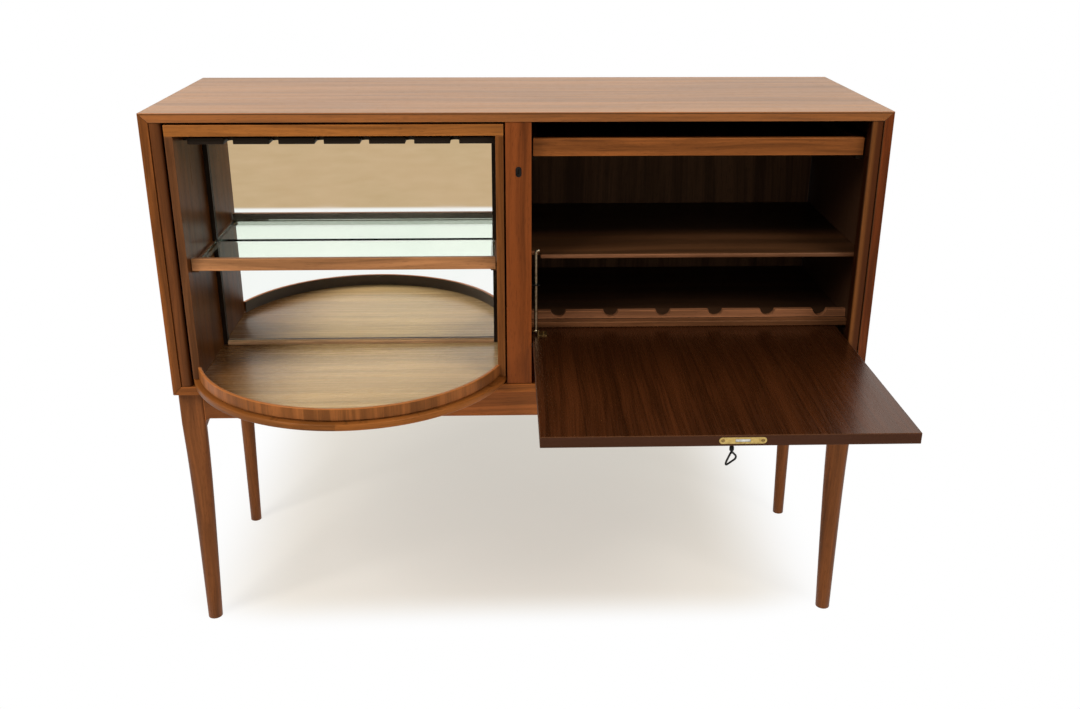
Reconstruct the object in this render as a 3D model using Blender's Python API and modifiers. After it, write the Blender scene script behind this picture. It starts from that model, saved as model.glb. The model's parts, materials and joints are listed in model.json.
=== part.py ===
"""Bar cabinet on tapered legs, with a revolving bar at the left and a drop flap at the right.

Metres, +Z up, front towards -Y. The origin is on the floor, in the middle of the space taken
with the flap let down. Lengths called v below run from the carcass front towards the back.
"""

import math

import bmesh
import bpy
from mathutils import Matrix, Vector

# Carcass
WIDTH = 1.200
DEPTH = 0.412
HEIGHT = 0.951
UNDERSIDE = 0.469
PANEL = 0.015
REVEAL = 0.002
BACK_THICK = 0.006
BACK_INSET = 0.006
JAMB_WIDTH = 0.0195
JAMB_DEPTH = 0.020
STILE_WIDTH = 0.042
STILE_OFFSET = -0.0023
STILE_DEPTH = 0.028
PARTITION = 0.012
DADO = 0.004
EDGE = 0.0008
JOINT = 0.0003

# Leg frame
LEG_TOP = 0.042
LEG_FOOT_R = 0.013
LEG_INSET = 0.003
BACK_LEG_TOP = 0.030
BACK_LEG_FOOT_R = 0.0112
BACK_LEG_INSET = 0.011
LEG_SET = 0.014
LEG_SPLAY = 0.007
LEG_SQUARE = 0.76
LEG_ROUNDING = 4
LEG_BLOCK_DROP = 0.012
LEG_COVE = 0.007
APRON_HIGH = 0.0515
APRON_THICK = 0.020
APRON_SET = 0.0015
APRON_FILLET = 0.009

# Revolving bar
BAR_GAP = 0.003
BAR_HEAD_GAP = 0.004
BAR_DEPTH = 0.190
BAR_SIDE = 0.013
DOOR_THICK = 0.013
BAR_TOP_THICK = 0.018
TOP_RAIL_DEEP = 0.010
SWEEP_CLEAR = 0.0015
PLATE_LIFT = 0.0015
PLATE_THICK = 0.012
PLATE_INSET = 0.001
RIM_SET = 0.0095
RIM_THICK = 0.006
RIM_HIGH = 0.0225
RIM_NICK_HIGH = 0.002
RIM_NICK_DEEP = 0.003
PIVOT_R = 0.005
PIVOT_FLANGE_R = 0.018
RUNNING = 0.00009
MIRROR_THICK = 0.004
STRIP_WIDE = 0.008
STRIP_DEEP = 0.006
BEAD = 0.008
GLASS_RISE = 0.1985
GLASS_THICK = 0.006
LIP_SET = 0.016
LIP_THICK = 0.010
LIP_HIGH = 0.021
LIP_ABOVE = 0.012
LIP_END_GAP = 0.0015
CLEAT_WIDE = 0.010
CLEAT_WALL = 0.004
CLEAT_HIGH = 0.014
RACK_DROP = 0.0054
RACK_THICK = 0.0105
RACK_SET = 0.018
RACK_DEEP = 0.078
SLOT_WIDE = 0.0144
SLOT_DEEP = 0.035
SLAT_WIDE = 0.058
RACK_SPACER_DEEP = 0.025

# Drop flap
FLAP_THICK = 0.017
FLAP_END_GAP = 0.002
FLAP_SIDE_GAP = 0.0025
FLAP_TAIL = 0.067
FLAP_STOP_GAP = 0.0005
FLAP_PIN_R = 0.004
FLAP_PIN_HALF = 0.014
LOCK_OFFSET = 0.016
LOCK_PLATE_LONG = 0.068
LOCK_PLATE_HIGH = 0.0100
LOCK_PLATE_THICK = 0.002
LOCK_CASE_LONG = 0.052
LOCK_CASE_HIGH = 0.0095
LOCK_CASE_DEEP = 0.030
LOCK_BOLT_WIDE = 0.021
LOCK_BOLT_THICK = 0.0038
LOCK_BOLT_LONG = 0.014
LOCK_THROW = 0.008
LOCK_FIT = 0.0004
KEY_OFFSET = -0.011
KEY_BACKSET = 0.020
KEY_SHANK_R = 0.0024
KEY_DROP = 0.0235
KEY_COLLAR_R = 0.0034
KEY_COLLAR_HIGH = 0.0095
KEY_NECK_R = 0.0016
KEY_NECK_HIGH = 0.0006
KEY_BOW_SPAN = 0.0192
KEY_BOW_FALL = 0.0095
KEY_BOW_CORNER = 0.0038
KEY_BOW_BAND = 0.0028
KEY_BOW_THICK = 0.0028
KEY_BOW_TURN = 54
KEY_BIT_REACH = 0.0052

# Flap stay
STAY_SIDE = 0.0058
STAY_BACK = 0.030
STAY_UP = 0.0055
STAY_ROD_R = 0.00225
STAY_EYE_R = 0.0045
STAY_EYE_WIDE = 0.005
STAY_PIN_R = 0.002
STAY_LONG = 0.146
STAY_HOOK = 0.006
STAY_PLAY = 0.0008
KEEPER_RISE = 0.086
KEEPER_THICK = 0.002
KEEPER_WALL = 0.004
KEEPER_FLANGE = 0.020
LUG_LONG = 0.020
LUG_WIDE = 0.016
LUG_THICK = 0.0016

# Right interior
RAIL_OVER = 0.007
RAIL_DEEP = 0.018
RAIL_HIGH = 0.010
FLOOR_THICK = 0.008
FLOOR_STEP = 0.0005
REST_SET = 0.003
REST_THICK = 0.010
REST_HIGH = 0.0135
NOTCH_COUNT = 6
NOTCH_PITCH = 0.094
NOTCH_R = 0.0135
NOTCH_DEEP = 0.0112
SHELF_RISE = 0.1345
SHELF_THICK = 0.008
SHELF_SET = 0.040
SHELF_NOSE = 0.0025
SHELF_NOTCH_DEEP = 0.022
TRAY_GAP = 0.0025
TRAY_SIDE_GAP = 0.003
TRAY_DROP = 0.0305
TRAY_FRONT_HIGH = 0.0285
TRAY_FRONT_THICK = 0.012
TRAY_LONG = 0.330
TRAY_WALL = 0.009
TRAY_BASE = 0.005
TRAY_BASE_UP = 0.002
TRAY_WALL_DROP = 0.004
RUNNER_LEDGE = 0.008
RUNNER_DEEP = 0.010
RUNNER_PLAY = 0.0005

# Stile lock
KEYHOLE_DROP = 0.0805
KEYHOLE_WIDE = 0.0095
KEYHOLE_HIGH = 0.017
KEYHOLE_PLATE = 0.001
BAR_BOLT_HIGH = 0.012
BAR_BOLT_THICK = 0.004
BAR_BOLT_LONG = 0.020
BAR_BOLT_BACK = 0.0015
BAR_THROW = 0.012

# Places that follow from the sizes
OPEN_LOW = UNDERSIDE + PANEL
OPEN_HIGH = HEIGHT - PANEL
INNER = WIDTH / 2 - PANEL
STILE_LEFT = STILE_OFFSET - STILE_WIDTH / 2
STILE_RIGHT = STILE_OFFSET + STILE_WIDTH / 2
JAMB_LEFT = -INNER + JAMB_WIDTH
JAMB_RIGHT = INNER - JAMB_WIDTH
BACK_FACE = DEPTH - BACK_INSET - BACK_THICK

BAR_X = (JAMB_LEFT + STILE_LEFT) / 2
BAR_HALF = (STILE_LEFT - JAMB_LEFT) / 2 - BAR_GAP
BAR_BACK = REVEAL + BAR_DEPTH
BAR_V = REVEAL + BAR_DEPTH / 2
DOOR_FACE = BAR_BACK - DOOR_THICK
SWEEP_R = math.hypot(BAR_HALF, BAR_DEPTH / 2)
HOLLOW_R = SWEEP_R + SWEEP_CLEAR
PLATE_LOW = OPEN_LOW + PLATE_LIFT
PLATE_TOP = PLATE_LOW + PLATE_THICK
PLATE_R = SWEEP_R - PLATE_INSET
BAR_HIGH = OPEN_HIGH - BAR_HEAD_GAP
BAR_CEILING = BAR_HIGH - BAR_TOP_THICK
BAR_IN_LEFT = BAR_X - BAR_HALF + BAR_SIDE
BAR_IN_RIGHT = BAR_X + BAR_HALF - BAR_SIDE
MIRROR_FACE = DOOR_FACE - JOINT - MIRROR_THICK
STRIP_FACE = MIRROR_FACE - JOINT - STRIP_DEEP
PARTITION_LEFT = BAR_X + HOLLOW_R
PARTITION_RIGHT = PARTITION_LEFT + PARTITION

FLAP_LEFT = STILE_RIGHT + FLAP_SIDE_GAP
FLAP_RIGHT = JAMB_RIGHT - FLAP_SIDE_GAP
FLAP_LONG = OPEN_HIGH - OPEN_LOW - 2 * FLAP_END_GAP
FLAP_V = REVEAL + FLAP_THICK / 2
FLAP_Z = OPEN_LOW + FLAP_END_GAP + FLAP_TAIL
FLAP_TOP = FLAP_Z + FLAP_THICK / 2
FLAP_UNDER = FLAP_Z - FLAP_THICK / 2
FLAP_END = FLAP_V + FLAP_TAIL
FLAP_TIP = FLAP_END - FLAP_LONG
LOCK_X = (FLAP_LEFT + FLAP_RIGHT) / 2 + LOCK_OFFSET
KEY_X = LOCK_X + KEY_OFFSET
KEY_V = FLAP_TIP + KEY_BACKSET
STAY_X = FLAP_LEFT + STAY_SIDE
STAY_V = FLAP_V + STAY_BACK
STAY_Z = FLAP_TOP + STAY_UP
KEEPER_Z = STAY_Z + KEEPER_RISE

RAIL_V = FLAP_END - RAIL_OVER
RAIL_LOW = FLAP_TOP + FLAP_STOP_GAP
RAIL_TOP = RAIL_LOW + RAIL_HIGH
FLOOR_TOP = RAIL_TOP - FLOOR_STEP
REST_V = RAIL_V + RAIL_DEEP + REST_SET
SHELF_TOP = FLOOR_TOP + SHELF_RISE
TRAY_LEFT = STILE_RIGHT + TRAY_SIDE_GAP
TRAY_RIGHT = JAMB_RIGHT - TRAY_SIDE_GAP
TRAY_V = REVEAL + FLAP_THICK + TRAY_GAP
TRAY_HIGH = OPEN_HIGH - TRAY_DROP
TRAY_LOW = TRAY_HIGH - TRAY_FRONT_HIGH
TRAY_BODY_V = TRAY_V + TRAY_FRONT_THICK + JOINT
TRAY_END = TRAY_V + TRAY_LONG
TRAY_BASE_LOW = TRAY_LOW + TRAY_BASE_UP
KEYHOLE_Z = OPEN_HIGH - KEYHOLE_DROP
BAR_BOLT_V = REVEAL + DOOR_THICK / 2
FRONT = -(FLAP_TIP + DEPTH) / 2


def collection_named(name):
    made = bpy.data.collections.new(name)
    bpy.context.scene.collection.children.link(made)
    return made


def finish(name, colour, roughness, metallic=0.0):
    made = bpy.data.materials.new(name)
    made.use_nodes = True
    shader = made.node_tree.nodes["Principled BSDF"]
    shader.inputs["Base Color"].default_value = (*colour, 1.0)
    shader.inputs["Roughness"].default_value = roughness
    shader.inputs["Metallic"].default_value = metallic
    return made


def axis_at(name, x, v, z):
    """An empty on a joint's axis, which carries the pieces that turn or slide there."""
    empty = bpy.data.objects.new(name, None)
    empty.location = (x, FRONT + v, z)
    empty.empty_display_size = 0.05
    PARTS.objects.link(empty)
    return empty


def added(name, mesh, look, body, helper=False):
    """A new object of this mesh, carried by body, as a piece or as a cutter."""
    obj = bpy.data.objects.new(name, mesh)
    if helper:
        CUTTERS.objects.link(obj)
        obj.hide_render = True
        obj.display_type = "WIRE"
    else:
        PARTS.objects.link(obj)
        mesh.materials.append(look)
    if body:
        obj.parent = body
        obj.matrix_parent_inverse = Matrix.Translation(-body.location)
    return obj


def softened(obj, width, segments=2):
    bevel = obj.modifiers.new("edge", "BEVEL")
    bevel.width = width
    bevel.segments = segments
    bevel.limit_method = "ANGLE"
    bevel.angle_limit = math.radians(40)
    return obj


def box(name, low, high, look, body=None, edge=EDGE, helper=False):
    """A block between two corners, each given as x, v, z."""
    low, high = Vector(low), Vector(high)
    mesh = bpy.data.meshes.new(name)
    bm = bmesh.new()
    bmesh.ops.create_cube(bm, size=1.0)
    bmesh.ops.scale(bm, vec=high - low, verts=bm.verts)
    bm.to_mesh(mesh)
    bm.free()
    obj = added(name, mesh, look, body, helper)
    obj.location = (low + high) / 2 + Vector((0, FRONT, 0))
    if edge and not helper:
        softened(obj, edge)
    return obj


def rod(name, centre, axis, radius, length, look, body=None, steps=24, helper=False):
    """A round bar about centre (x, v, z), along X, Y or Z."""
    mesh = bpy.data.meshes.new(name)
    bm = bmesh.new()
    bmesh.ops.create_cone(
        bm, cap_ends=True, segments=steps, radius1=radius, radius2=radius, depth=length
    )
    bm.to_mesh(mesh)
    bm.free()
    mesh.shade_smooth()
    mesh.set_sharp_from_angle(angle=math.radians(40))
    obj = added(name, mesh, look, body, helper)
    turn = {"X": (0, math.pi / 2, 0), "Y": (math.pi / 2, 0, 0), "Z": (0, 0, 0)}
    obj.rotation_euler = turn[axis]
    obj.location = Vector(centre) + Vector((0, FRONT, 0))
    return obj


def slab(name, outlines, axis, low, high, look, body=None, edge=0.0, helper=False):
    """Flat outlines (a border, then holes) drawn out along an axis from low to high.

    The outline's two numbers are x, z along Y, then v, z along X, then x, v along Z.
    """
    curve = bpy.data.curves.new(name + "_outline", "CURVE")
    curve.dimensions = "2D"
    curve.fill_mode = "BOTH"
    curve.extrude = (high - low) / 2
    for outline in outlines:
        spline = curve.splines.new("POLY")
        spline.points.add(len(outline) - 1)
        for point, (a, b) in zip(spline.points, outline):
            point.co = (a, b, 0, 1)
        spline.use_cyclic_u = True
    drawn = bpy.data.objects.new(name + "_outline", curve)
    graph = bpy.context.evaluated_depsgraph_get()
    mesh = bpy.data.meshes.new_from_object(drawn.evaluated_get(graph))
    bpy.data.objects.remove(drawn)
    mesh.name = name
    bm = bmesh.new()
    bm.from_mesh(mesh)
    bmesh.ops.remove_doubles(bm, verts=bm.verts, dist=1e-6)
    bmesh.ops.dissolve_limit(bm, angle_limit=0.001, verts=bm.verts, edges=bm.edges)
    bmesh.ops.recalc_face_normals(bm, faces=bm.faces)
    bm.to_mesh(mesh)
    bm.free()
    obj = added(name, mesh, look, body, helper)
    middle = (low + high) / 2
    if axis == "Y":
        obj.rotation_euler = (math.pi / 2, 0, 0)
        obj.location = (0, FRONT + middle, 0)
    elif axis == "X":
        obj.rotation_euler = (math.pi / 2, 0, math.pi / 2)
        obj.location = (middle, FRONT, 0)
    else:
        obj.location = (0, FRONT, middle)
    if edge and not helper:
        softened(obj, edge)
    return obj


def turned(name, profile, look, centre, body=None, steps=48, helper=False):
    """A profile of (radius, height) points turned about the vertical axis at centre."""
    mesh = bpy.data.meshes.new(name)
    edges = [(i, i + 1) for i in range(len(profile) - 1)]
    if profile[0][0] > 0:
        edges.append((len(profile) - 1, 0))
    mesh.from_pydata([(r, 0, z) for r, z in profile], edges, [])
    obj = added(name, mesh, look, body, helper)
    obj.location = Vector(centre) + Vector((0, FRONT, 0))
    screw = obj.modifiers.new("turn", "SCREW")
    screw.axis = "Z"
    screw.angle = math.tau
    screw.steps = steps
    screw.render_steps = steps
    screw.use_merge_vertices = True
    screw.merge_threshold = 0.00001
    screw.use_smooth_shade = True
    return obj


def joined(obj, other, operation="DIFFERENCE"):
    step = obj.modifiers.new(other.name, "BOOLEAN")
    step.operation = operation
    step.solver = "EXACT"
    step.object = other
    return obj


def arc(centre_a, centre_b, radius, start, end, steps):
    """Points on a circle, with its angles in degrees."""
    points = []
    for i in range(steps + 1):
        angle = math.radians(start + (end - start) * i / steps)
        points.append((centre_a + radius * math.cos(angle), centre_b + radius * math.sin(angle)))
    return points


def stadium(a, b, long, high, steps=8):
    """A bar with round ends about (a, b)."""
    reach = (long - high) / 2
    right = arc(a + reach, b, high / 2, -90, 90, steps)
    return right + arc(a - reach, b, high / 2, 90, 270, steps)


bpy.ops.object.select_all(action="DESELECT")
for old in list(bpy.data.objects):
    bpy.data.objects.remove(old, do_unlink=True)

PARTS = collection_named("bar_cabinet")
CUTTERS = collection_named("cutters")

TEAK = finish("teak", (0.36, 0.16, 0.055), 0.45)
TEAK_TOP = finish("teak_top", (0.42, 0.23, 0.12), 0.40)
TEAK_DARK = finish("teak_dark", (0.20, 0.08, 0.035), 0.45)
TEAK_FLAP = finish("teak_flap", (0.10, 0.045, 0.025), 0.25)
TEAK_INSIDE = finish("teak_inside", (0.11, 0.05, 0.028), 0.55)
BAR_FLOOR = finish("bar_floor_veneer", (0.45, 0.33, 0.20), 0.40)
RACK_WOOD = finish("rack_wood", (0.035, 0.018, 0.011), 0.45)
MIRROR_LOOK = finish("mirror_silver", (0.85, 0.86, 0.85), 0.02, 1.0)
GLASS_LOOK = finish("green_glass", (0.55, 0.68, 0.60), 0.05)
BRASS = finish("brass", (0.62, 0.46, 0.20), 0.32, 1.0)
STEEL = finish("dull_steel", (0.42, 0.41, 0.39), 0.38, 1.0)
BLACK_IRON = finish("black_iron", (0.02, 0.019, 0.018), 0.42, 0.9)

bar_axis = axis_at("bar_axis", BAR_X, BAR_V, PLATE_LOW)
flap_axis = axis_at("flap_axis", LOCK_X, FLAP_V, FLAP_Z)
stay_axis = axis_at("stay_axis", STAY_X, STAY_V, STAY_Z)
tray_axis = axis_at("tray_axis", (TRAY_LEFT + TRAY_RIGHT) / 2, TRAY_V, TRAY_BASE_LOW)
key_axis = axis_at("key_axis", KEY_X, KEY_V, FLAP_Z)
lock_axis = axis_at("lock_axis", LOCK_X, FLAP_TIP, FLAP_Z)
bar_bolt_axis = axis_at("bar_bolt_axis", STILE_LEFT, BAR_BOLT_V, KEYHOLE_Z)

# Carcass box: four panels with mitred corners, and a back let in from behind
half = WIDTH / 2
top_outline = [
    (-half + JOINT, HEIGHT),
    (-INNER + JOINT, OPEN_HIGH),
    (INNER - JOINT, OPEN_HIGH),
    (half - JOINT, HEIGHT),
]
bottom_outline = [
    (-half + JOINT, UNDERSIDE),
    (half - JOINT, UNDERSIDE),
    (INNER - JOINT, OPEN_LOW),
    (-INNER + JOINT, OPEN_LOW),
]
left_outline = [(-half, UNDERSIDE), (-INNER, OPEN_LOW), (-INNER, OPEN_HIGH), (-half, HEIGHT)]
right_outline = [(half, UNDERSIDE), (half, HEIGHT), (INNER, OPEN_HIGH), (INNER, OPEN_LOW)]
top_panel = slab("top_panel", [top_outline], "Y", 0, DEPTH, TEAK_TOP, edge=EDGE)
bottom_panel = slab("bottom_panel", [bottom_outline], "Y", 0, DEPTH, TEAK, edge=EDGE)
left_side = slab("left_side", [left_outline], "Y", 0, DEPTH, TEAK, edge=EDGE)
right_side = slab("right_side", [right_outline], "Y", 0, DEPTH, TEAK, edge=EDGE)
box(
    "back_panel",
    (-INNER + JOINT, BACK_FACE, OPEN_LOW + JOINT),
    (INNER - JOINT, BACK_FACE + BACK_THICK, OPEN_HIGH - JOINT),
    TEAK_DARK,
    edge=0,
)
partition = box(
    "partition",
    (PARTITION_LEFT, REVEAL + STILE_DEPTH + JOINT, OPEN_LOW + JOINT),
    (PARTITION_RIGHT, BACK_FACE - JOINT, OPEN_HIGH - JOINT),
    TEAK_INSIDE,
    edge=0,
)
stile = box(
    "stile",
    (STILE_LEFT, REVEAL, OPEN_LOW + JOINT),
    (STILE_RIGHT, REVEAL + STILE_DEPTH, OPEN_HIGH - JOINT),
    TEAK,
)
left_jamb = box(
    "left_jamb",
    (-INNER + JOINT, REVEAL, OPEN_LOW + JOINT),
    (JAMB_LEFT, REVEAL + JAMB_DEPTH, OPEN_HIGH - JOINT),
    TEAK,
    edge=0.002,
)
right_jamb = box(
    "right_jamb",
    (JAMB_RIGHT, REVEAL, OPEN_LOW + JOINT),
    (INNER - JOINT, REVEAL + JAMB_DEPTH, OPEN_HIGH - JOINT),
    TEAK,
    edge=0.002,
)
# The bar turns past the stile and the left jamb, so both are hollowed to its sweep
sweep = rod(
    "bar_sweep",
    (BAR_X, BAR_V, (OPEN_LOW + OPEN_HIGH) / 2),
    "Z",
    HOLLOW_R,
    OPEN_HIGH - OPEN_LOW + PANEL,
    None,
    steps=160,
    helper=True,
)
joined(stile, sweep)
joined(left_jamb, sweep)

# Grooves that hold the inner floor and the shelf
for name, top, thick, start in (
    ("floor_groove", FLOOR_TOP, FLOOR_THICK, RAIL_V + RAIL_DEEP),
    ("shelf_groove", SHELF_TOP, SHELF_THICK, SHELF_SET),
):
    for target, low_x, high_x in (
        (partition, PARTITION_RIGHT - DADO, PARTITION_RIGHT + PANEL),
        (right_side, INNER - PANEL, INNER + DADO),
    ):
        groove = box(
            name + "_" + target.name,
            (low_x, start, top - thick - JOINT),
            (high_x, DEPTH - BACK_INSET / 2, top + JOINT),
            None,
            helper=True,
        )
        joined(target, groove)

# Legs: a square head, then a taper that soon turns round; the back pair is slimmer.
# Under the head the inner corner is shaved off in one wide curve.
LEG_HEAD = UNDERSIDE - JOINT
LEG_WAIST = UNDERSIDE - APRON_HIGH - LEG_BLOCK_DROP


def leg_ring(centre_x, centre_v, z, reach, corner, inner, inner_way):
    ring = []
    for turn, side_x, side_v in ((0, 1, 1), (90, -1, 1), (180, -1, -1), (270, 1, -1)):
        radius = inner if (side_x, side_v) == inner_way else corner
        away = reach - radius
        ring += arc(
            centre_x + side_x * away, centre_v + side_v * away, radius, turn + 4, turn + 86, 6
        )
    return [(x, FRONT + v, z) for x, v in ring]


def leg(name, side, along):
    if along < 0:
        top, foot_r, inset = LEG_TOP, LEG_FOOT_R, LEG_INSET
    else:
        top, foot_r, inset = BACK_LEG_TOP, BACK_LEG_FOOT_R, BACK_LEG_INSET
    head_x = side * (WIDTH / 2 - inset - top / 2)
    head_v = DEPTH / 2 + along * (DEPTH / 2 - LEG_SET - top / 2)
    mesh = bpy.data.meshes.new(name)
    bm = bmesh.new()
    levels = [(LEG_HEAD, False), (LEG_WAIST, False)]
    for i in range(9):
        levels.append(((LEG_WAIST - LEG_COVE) * (8 - i) / 8, True))
    rings = []
    for z, shaved in levels:
        part = min(z / LEG_WAIST, 1)
        reach = foot_r + (top / 2 - foot_r) * part
        corner = reach * (1 - LEG_SQUARE * part**LEG_ROUNDING)
        inner = 2 * reach - corner if shaved else corner
        lean = LEG_SPLAY * (1 - part)
        x, v = head_x + side * lean, head_v + along * lean
        ring = leg_ring(x, v, z, reach, corner, inner, (-side, -along))
        rings.append([bm.verts.new(point) for point in ring])
    for upper, lower in zip(rings, rings[1:]):
        for i in range(len(upper)):
            j = (i + 1) % len(upper)
            bm.faces.new((upper[i], lower[i], lower[j], upper[j]))
    bm.faces.new(rings[0])
    bm.faces.new(list(reversed(rings[-1])))
    bmesh.ops.recalc_face_normals(bm, faces=bm.faces)
    bm.to_mesh(mesh)
    bm.free()
    mesh.shade_smooth()
    mesh.set_sharp_from_angle(angle=math.radians(40))
    return added(name, mesh, TEAK, None)


leg("leg_front_left", -1, -1)
leg("leg_front_right", 1, -1)
leg("leg_back_left", -1, 1)
leg("leg_back_right", 1, 1)

# Aprons between the legs, with a small hollow curve down to each leg
APRON_TOP = UNDERSIDE - JOINT
APRON_LOW = UNDERSIDE - APRON_HIGH


def apron_outline(low, high):
    left = arc(low + APRON_FILLET, APRON_LOW - APRON_FILLET, APRON_FILLET, 180, 90, 6)
    right = arc(high - APRON_FILLET, APRON_LOW - APRON_FILLET, APRON_FILLET, 90, 0, 6)
    return [(low, APRON_TOP)] + left + right + [(high, APRON_TOP)]


front_end = WIDTH / 2 - LEG_INSET - LEG_TOP - JOINT
back_end = WIDTH / 2 - BACK_LEG_INSET - BACK_LEG_TOP - JOINT
apron_v = LEG_SET + APRON_SET
apron_x = WIDTH / 2 - BACK_LEG_INSET - APRON_SET
front_apron = apron_outline(-front_end, front_end)
back_apron = apron_outline(-back_end, back_end)
side_apron = apron_outline(LEG_SET + LEG_TOP + JOINT, DEPTH - LEG_SET - BACK_LEG_TOP - JOINT)
slab("apron_front", [front_apron], "Y", apron_v, apron_v + APRON_THICK, TEAK_DARK)
slab("apron_back", [back_apron], "Y", DEPTH - apron_v - APRON_THICK, DEPTH - apron_v, TEAK_DARK)
slab("apron_left", [side_apron], "X", -apron_x, -apron_x + APRON_THICK, TEAK_DARK)
slab("apron_right", [side_apron], "X", apron_x - APRON_THICK, apron_x, TEAK_DARK)

# Revolving bar: base plate with a round front and a straight back under the door
plate_half = math.degrees(math.asin((DOOR_FACE - JOINT - BAR_V) / PLATE_R))
base_plate = slab(
    "bar_base_plate",
    [arc(BAR_X, BAR_V, PLATE_R, -180 - plate_half, plate_half, 72)],
    "Z",
    PLATE_LOW,
    PLATE_TOP,
    BAR_FLOOR,
    bar_axis,
    edge=0.002,
)
# Gallery rim: a turned ring, kept only in front of the uprights
rim_r = SWEEP_R - RIM_SET
gallery_rim = turned(
    "gallery_rim",
    [
        (rim_r - RIM_THICK, RIM_HIGH),
        (rim_r, RIM_HIGH),
        (rim_r, RIM_NICK_HIGH),
        (rim_r - RIM_NICK_DEEP, RIM_NICK_HIGH),
        (rim_r - RIM_NICK_DEEP, 0),
        (rim_r - RIM_THICK, 0),
    ],
    TEAK,
    (BAR_X, BAR_V, PLATE_TOP + JOINT),
    bar_axis,
    steps=120,
)
rim_keep = box(
    "rim_behind",
    (BAR_X - SWEEP_R - PANEL, REVEAL - JOINT, PLATE_TOP - PANEL),
    (BAR_X + SWEEP_R + PANEL, BAR_BACK + SWEEP_R, PLATE_TOP + RIM_HIGH + PANEL),
    None,
    bar_axis,
    helper=True,
)
joined(gallery_rim, rim_keep)

# Bar uprights, top, rail and the door that closes the front when the bar is turned
wall_low = PLATE_TOP + JOINT
wall_high = BAR_CEILING - JOINT
bar_left_side = box(
    "bar_left_side",
    (BAR_X - BAR_HALF, REVEAL, wall_low),
    (BAR_IN_LEFT, DOOR_FACE - JOINT, wall_high),
    TEAK,
    bar_axis,
)
bar_right_side = box(
    "bar_right_side",
    (BAR_IN_RIGHT, REVEAL, wall_low),
    (BAR_X + BAR_HALF, DOOR_FACE - JOINT, wall_high),
    TEAK,
    bar_axis,
)
box(
    "bar_top_rail",
    (BAR_X - BAR_HALF, REVEAL, BAR_CEILING),
    (BAR_X + BAR_HALF, REVEAL + TOP_RAIL_DEEP, BAR_HIGH),
    TEAK,
    bar_axis,
)
bar_top = box(
    "bar_top",
    (BAR_X - BAR_HALF, REVEAL + TOP_RAIL_DEEP + JOINT, BAR_CEILING),
    (BAR_X + BAR_HALF, DOOR_FACE - JOINT, BAR_HIGH),
    TEAK_INSIDE,
    bar_axis,
    edge=0,
)
bar_door = box(
    "bar_door",
    (BAR_X - BAR_HALF, DOOR_FACE, PLATE_LOW),
    (BAR_X + BAR_HALF, BAR_BACK, BAR_HIGH),
    TEAK,
    bar_axis,
)

# Pivots of the bar: pins fixed in the carcass that run in the plate and in the bar's top
pin_low = PLATE_THICK * 0.75
flange_low = PLATE_LIFT - 2 * JOINT
turned(
    "bar_pivot_lower",
    [
        (0, flange_low + pin_low),
        (PIVOT_R, flange_low + pin_low),
        (PIVOT_R, flange_low),
        (PIVOT_FLANGE_R, flange_low),
        (PIVOT_FLANGE_R, 0),
        (0, 0),
    ],
    STEEL,
    (BAR_X, BAR_V, OPEN_LOW + JOINT),
    steps=32,
)
joined(
    base_plate,
    rod(
        "plate_bore",
        (BAR_X, BAR_V, PLATE_LOW),
        "Z",
        PIVOT_R + RUNNING,
        2 * (pin_low + JOINT),
        None,
        bar_axis,
        steps=32,
        helper=True,
    ),
)
pin_high = BAR_TOP_THICK * 0.6
flange_high = BAR_HEAD_GAP - 3 * JOINT
turned(
    "bar_pivot_upper",
    [
        (0, 0),
        (PIVOT_FLANGE_R, 0),
        (PIVOT_FLANGE_R, -flange_high),
        (PIVOT_R, -flange_high),
        (PIVOT_R, -flange_high - pin_high),
        (0, -flange_high - pin_high),
    ],
    STEEL,
    (BAR_X, BAR_V, OPEN_HIGH - JOINT),
    steps=32,
)
joined(
    bar_top,
    rod(
        "top_bore",
        (BAR_X, BAR_V, BAR_HIGH),
        "Z",
        PIVOT_R + RUNNING,
        2 * (pin_high + JOINT),
        None,
        bar_axis,
        steps=32,
        helper=True,
    ),
)

# Mirror on the door's inner face, with a strip up each side and a bead along its foot
box(
    "mirror",
    (BAR_IN_LEFT + JOINT, MIRROR_FACE, wall_low),
    (BAR_IN_RIGHT - JOINT, DOOR_FACE - JOINT, wall_high),
    MIRROR_LOOK,
    bar_axis,
    edge=0,
)
box(
    "mirror_strip_left",
    (BAR_IN_LEFT + JOINT, STRIP_FACE, wall_low),
    (BAR_IN_LEFT + JOINT + STRIP_WIDE, MIRROR_FACE - JOINT, wall_high),
    RACK_WOOD,
    bar_axis,
)
box(
    "mirror_strip_right",
    (BAR_IN_RIGHT - JOINT - STRIP_WIDE, STRIP_FACE, wall_low),
    (BAR_IN_RIGHT - JOINT, MIRROR_FACE - JOINT, wall_high),
    RACK_WOOD,
    bar_axis,
)
bead_back = MIRROR_FACE - JOINT
bead_outline = [(bead_back, wall_low), (bead_back, wall_low + BEAD)]
bead_outline += arc(bead_back - BEAD / 2, wall_low + BEAD / 2, BEAD / 2, 90, 180, 6)
bead_outline += [(bead_back - BEAD, wall_low)]
slab(
    "mirror_bead",
    [bead_outline],
    "X",
    BAR_IN_LEFT + STRIP_WIDE + 2 * JOINT,
    BAR_IN_RIGHT - STRIP_WIDE - 2 * JOINT,
    BAR_FLOOR,
    bar_axis,
)

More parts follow.
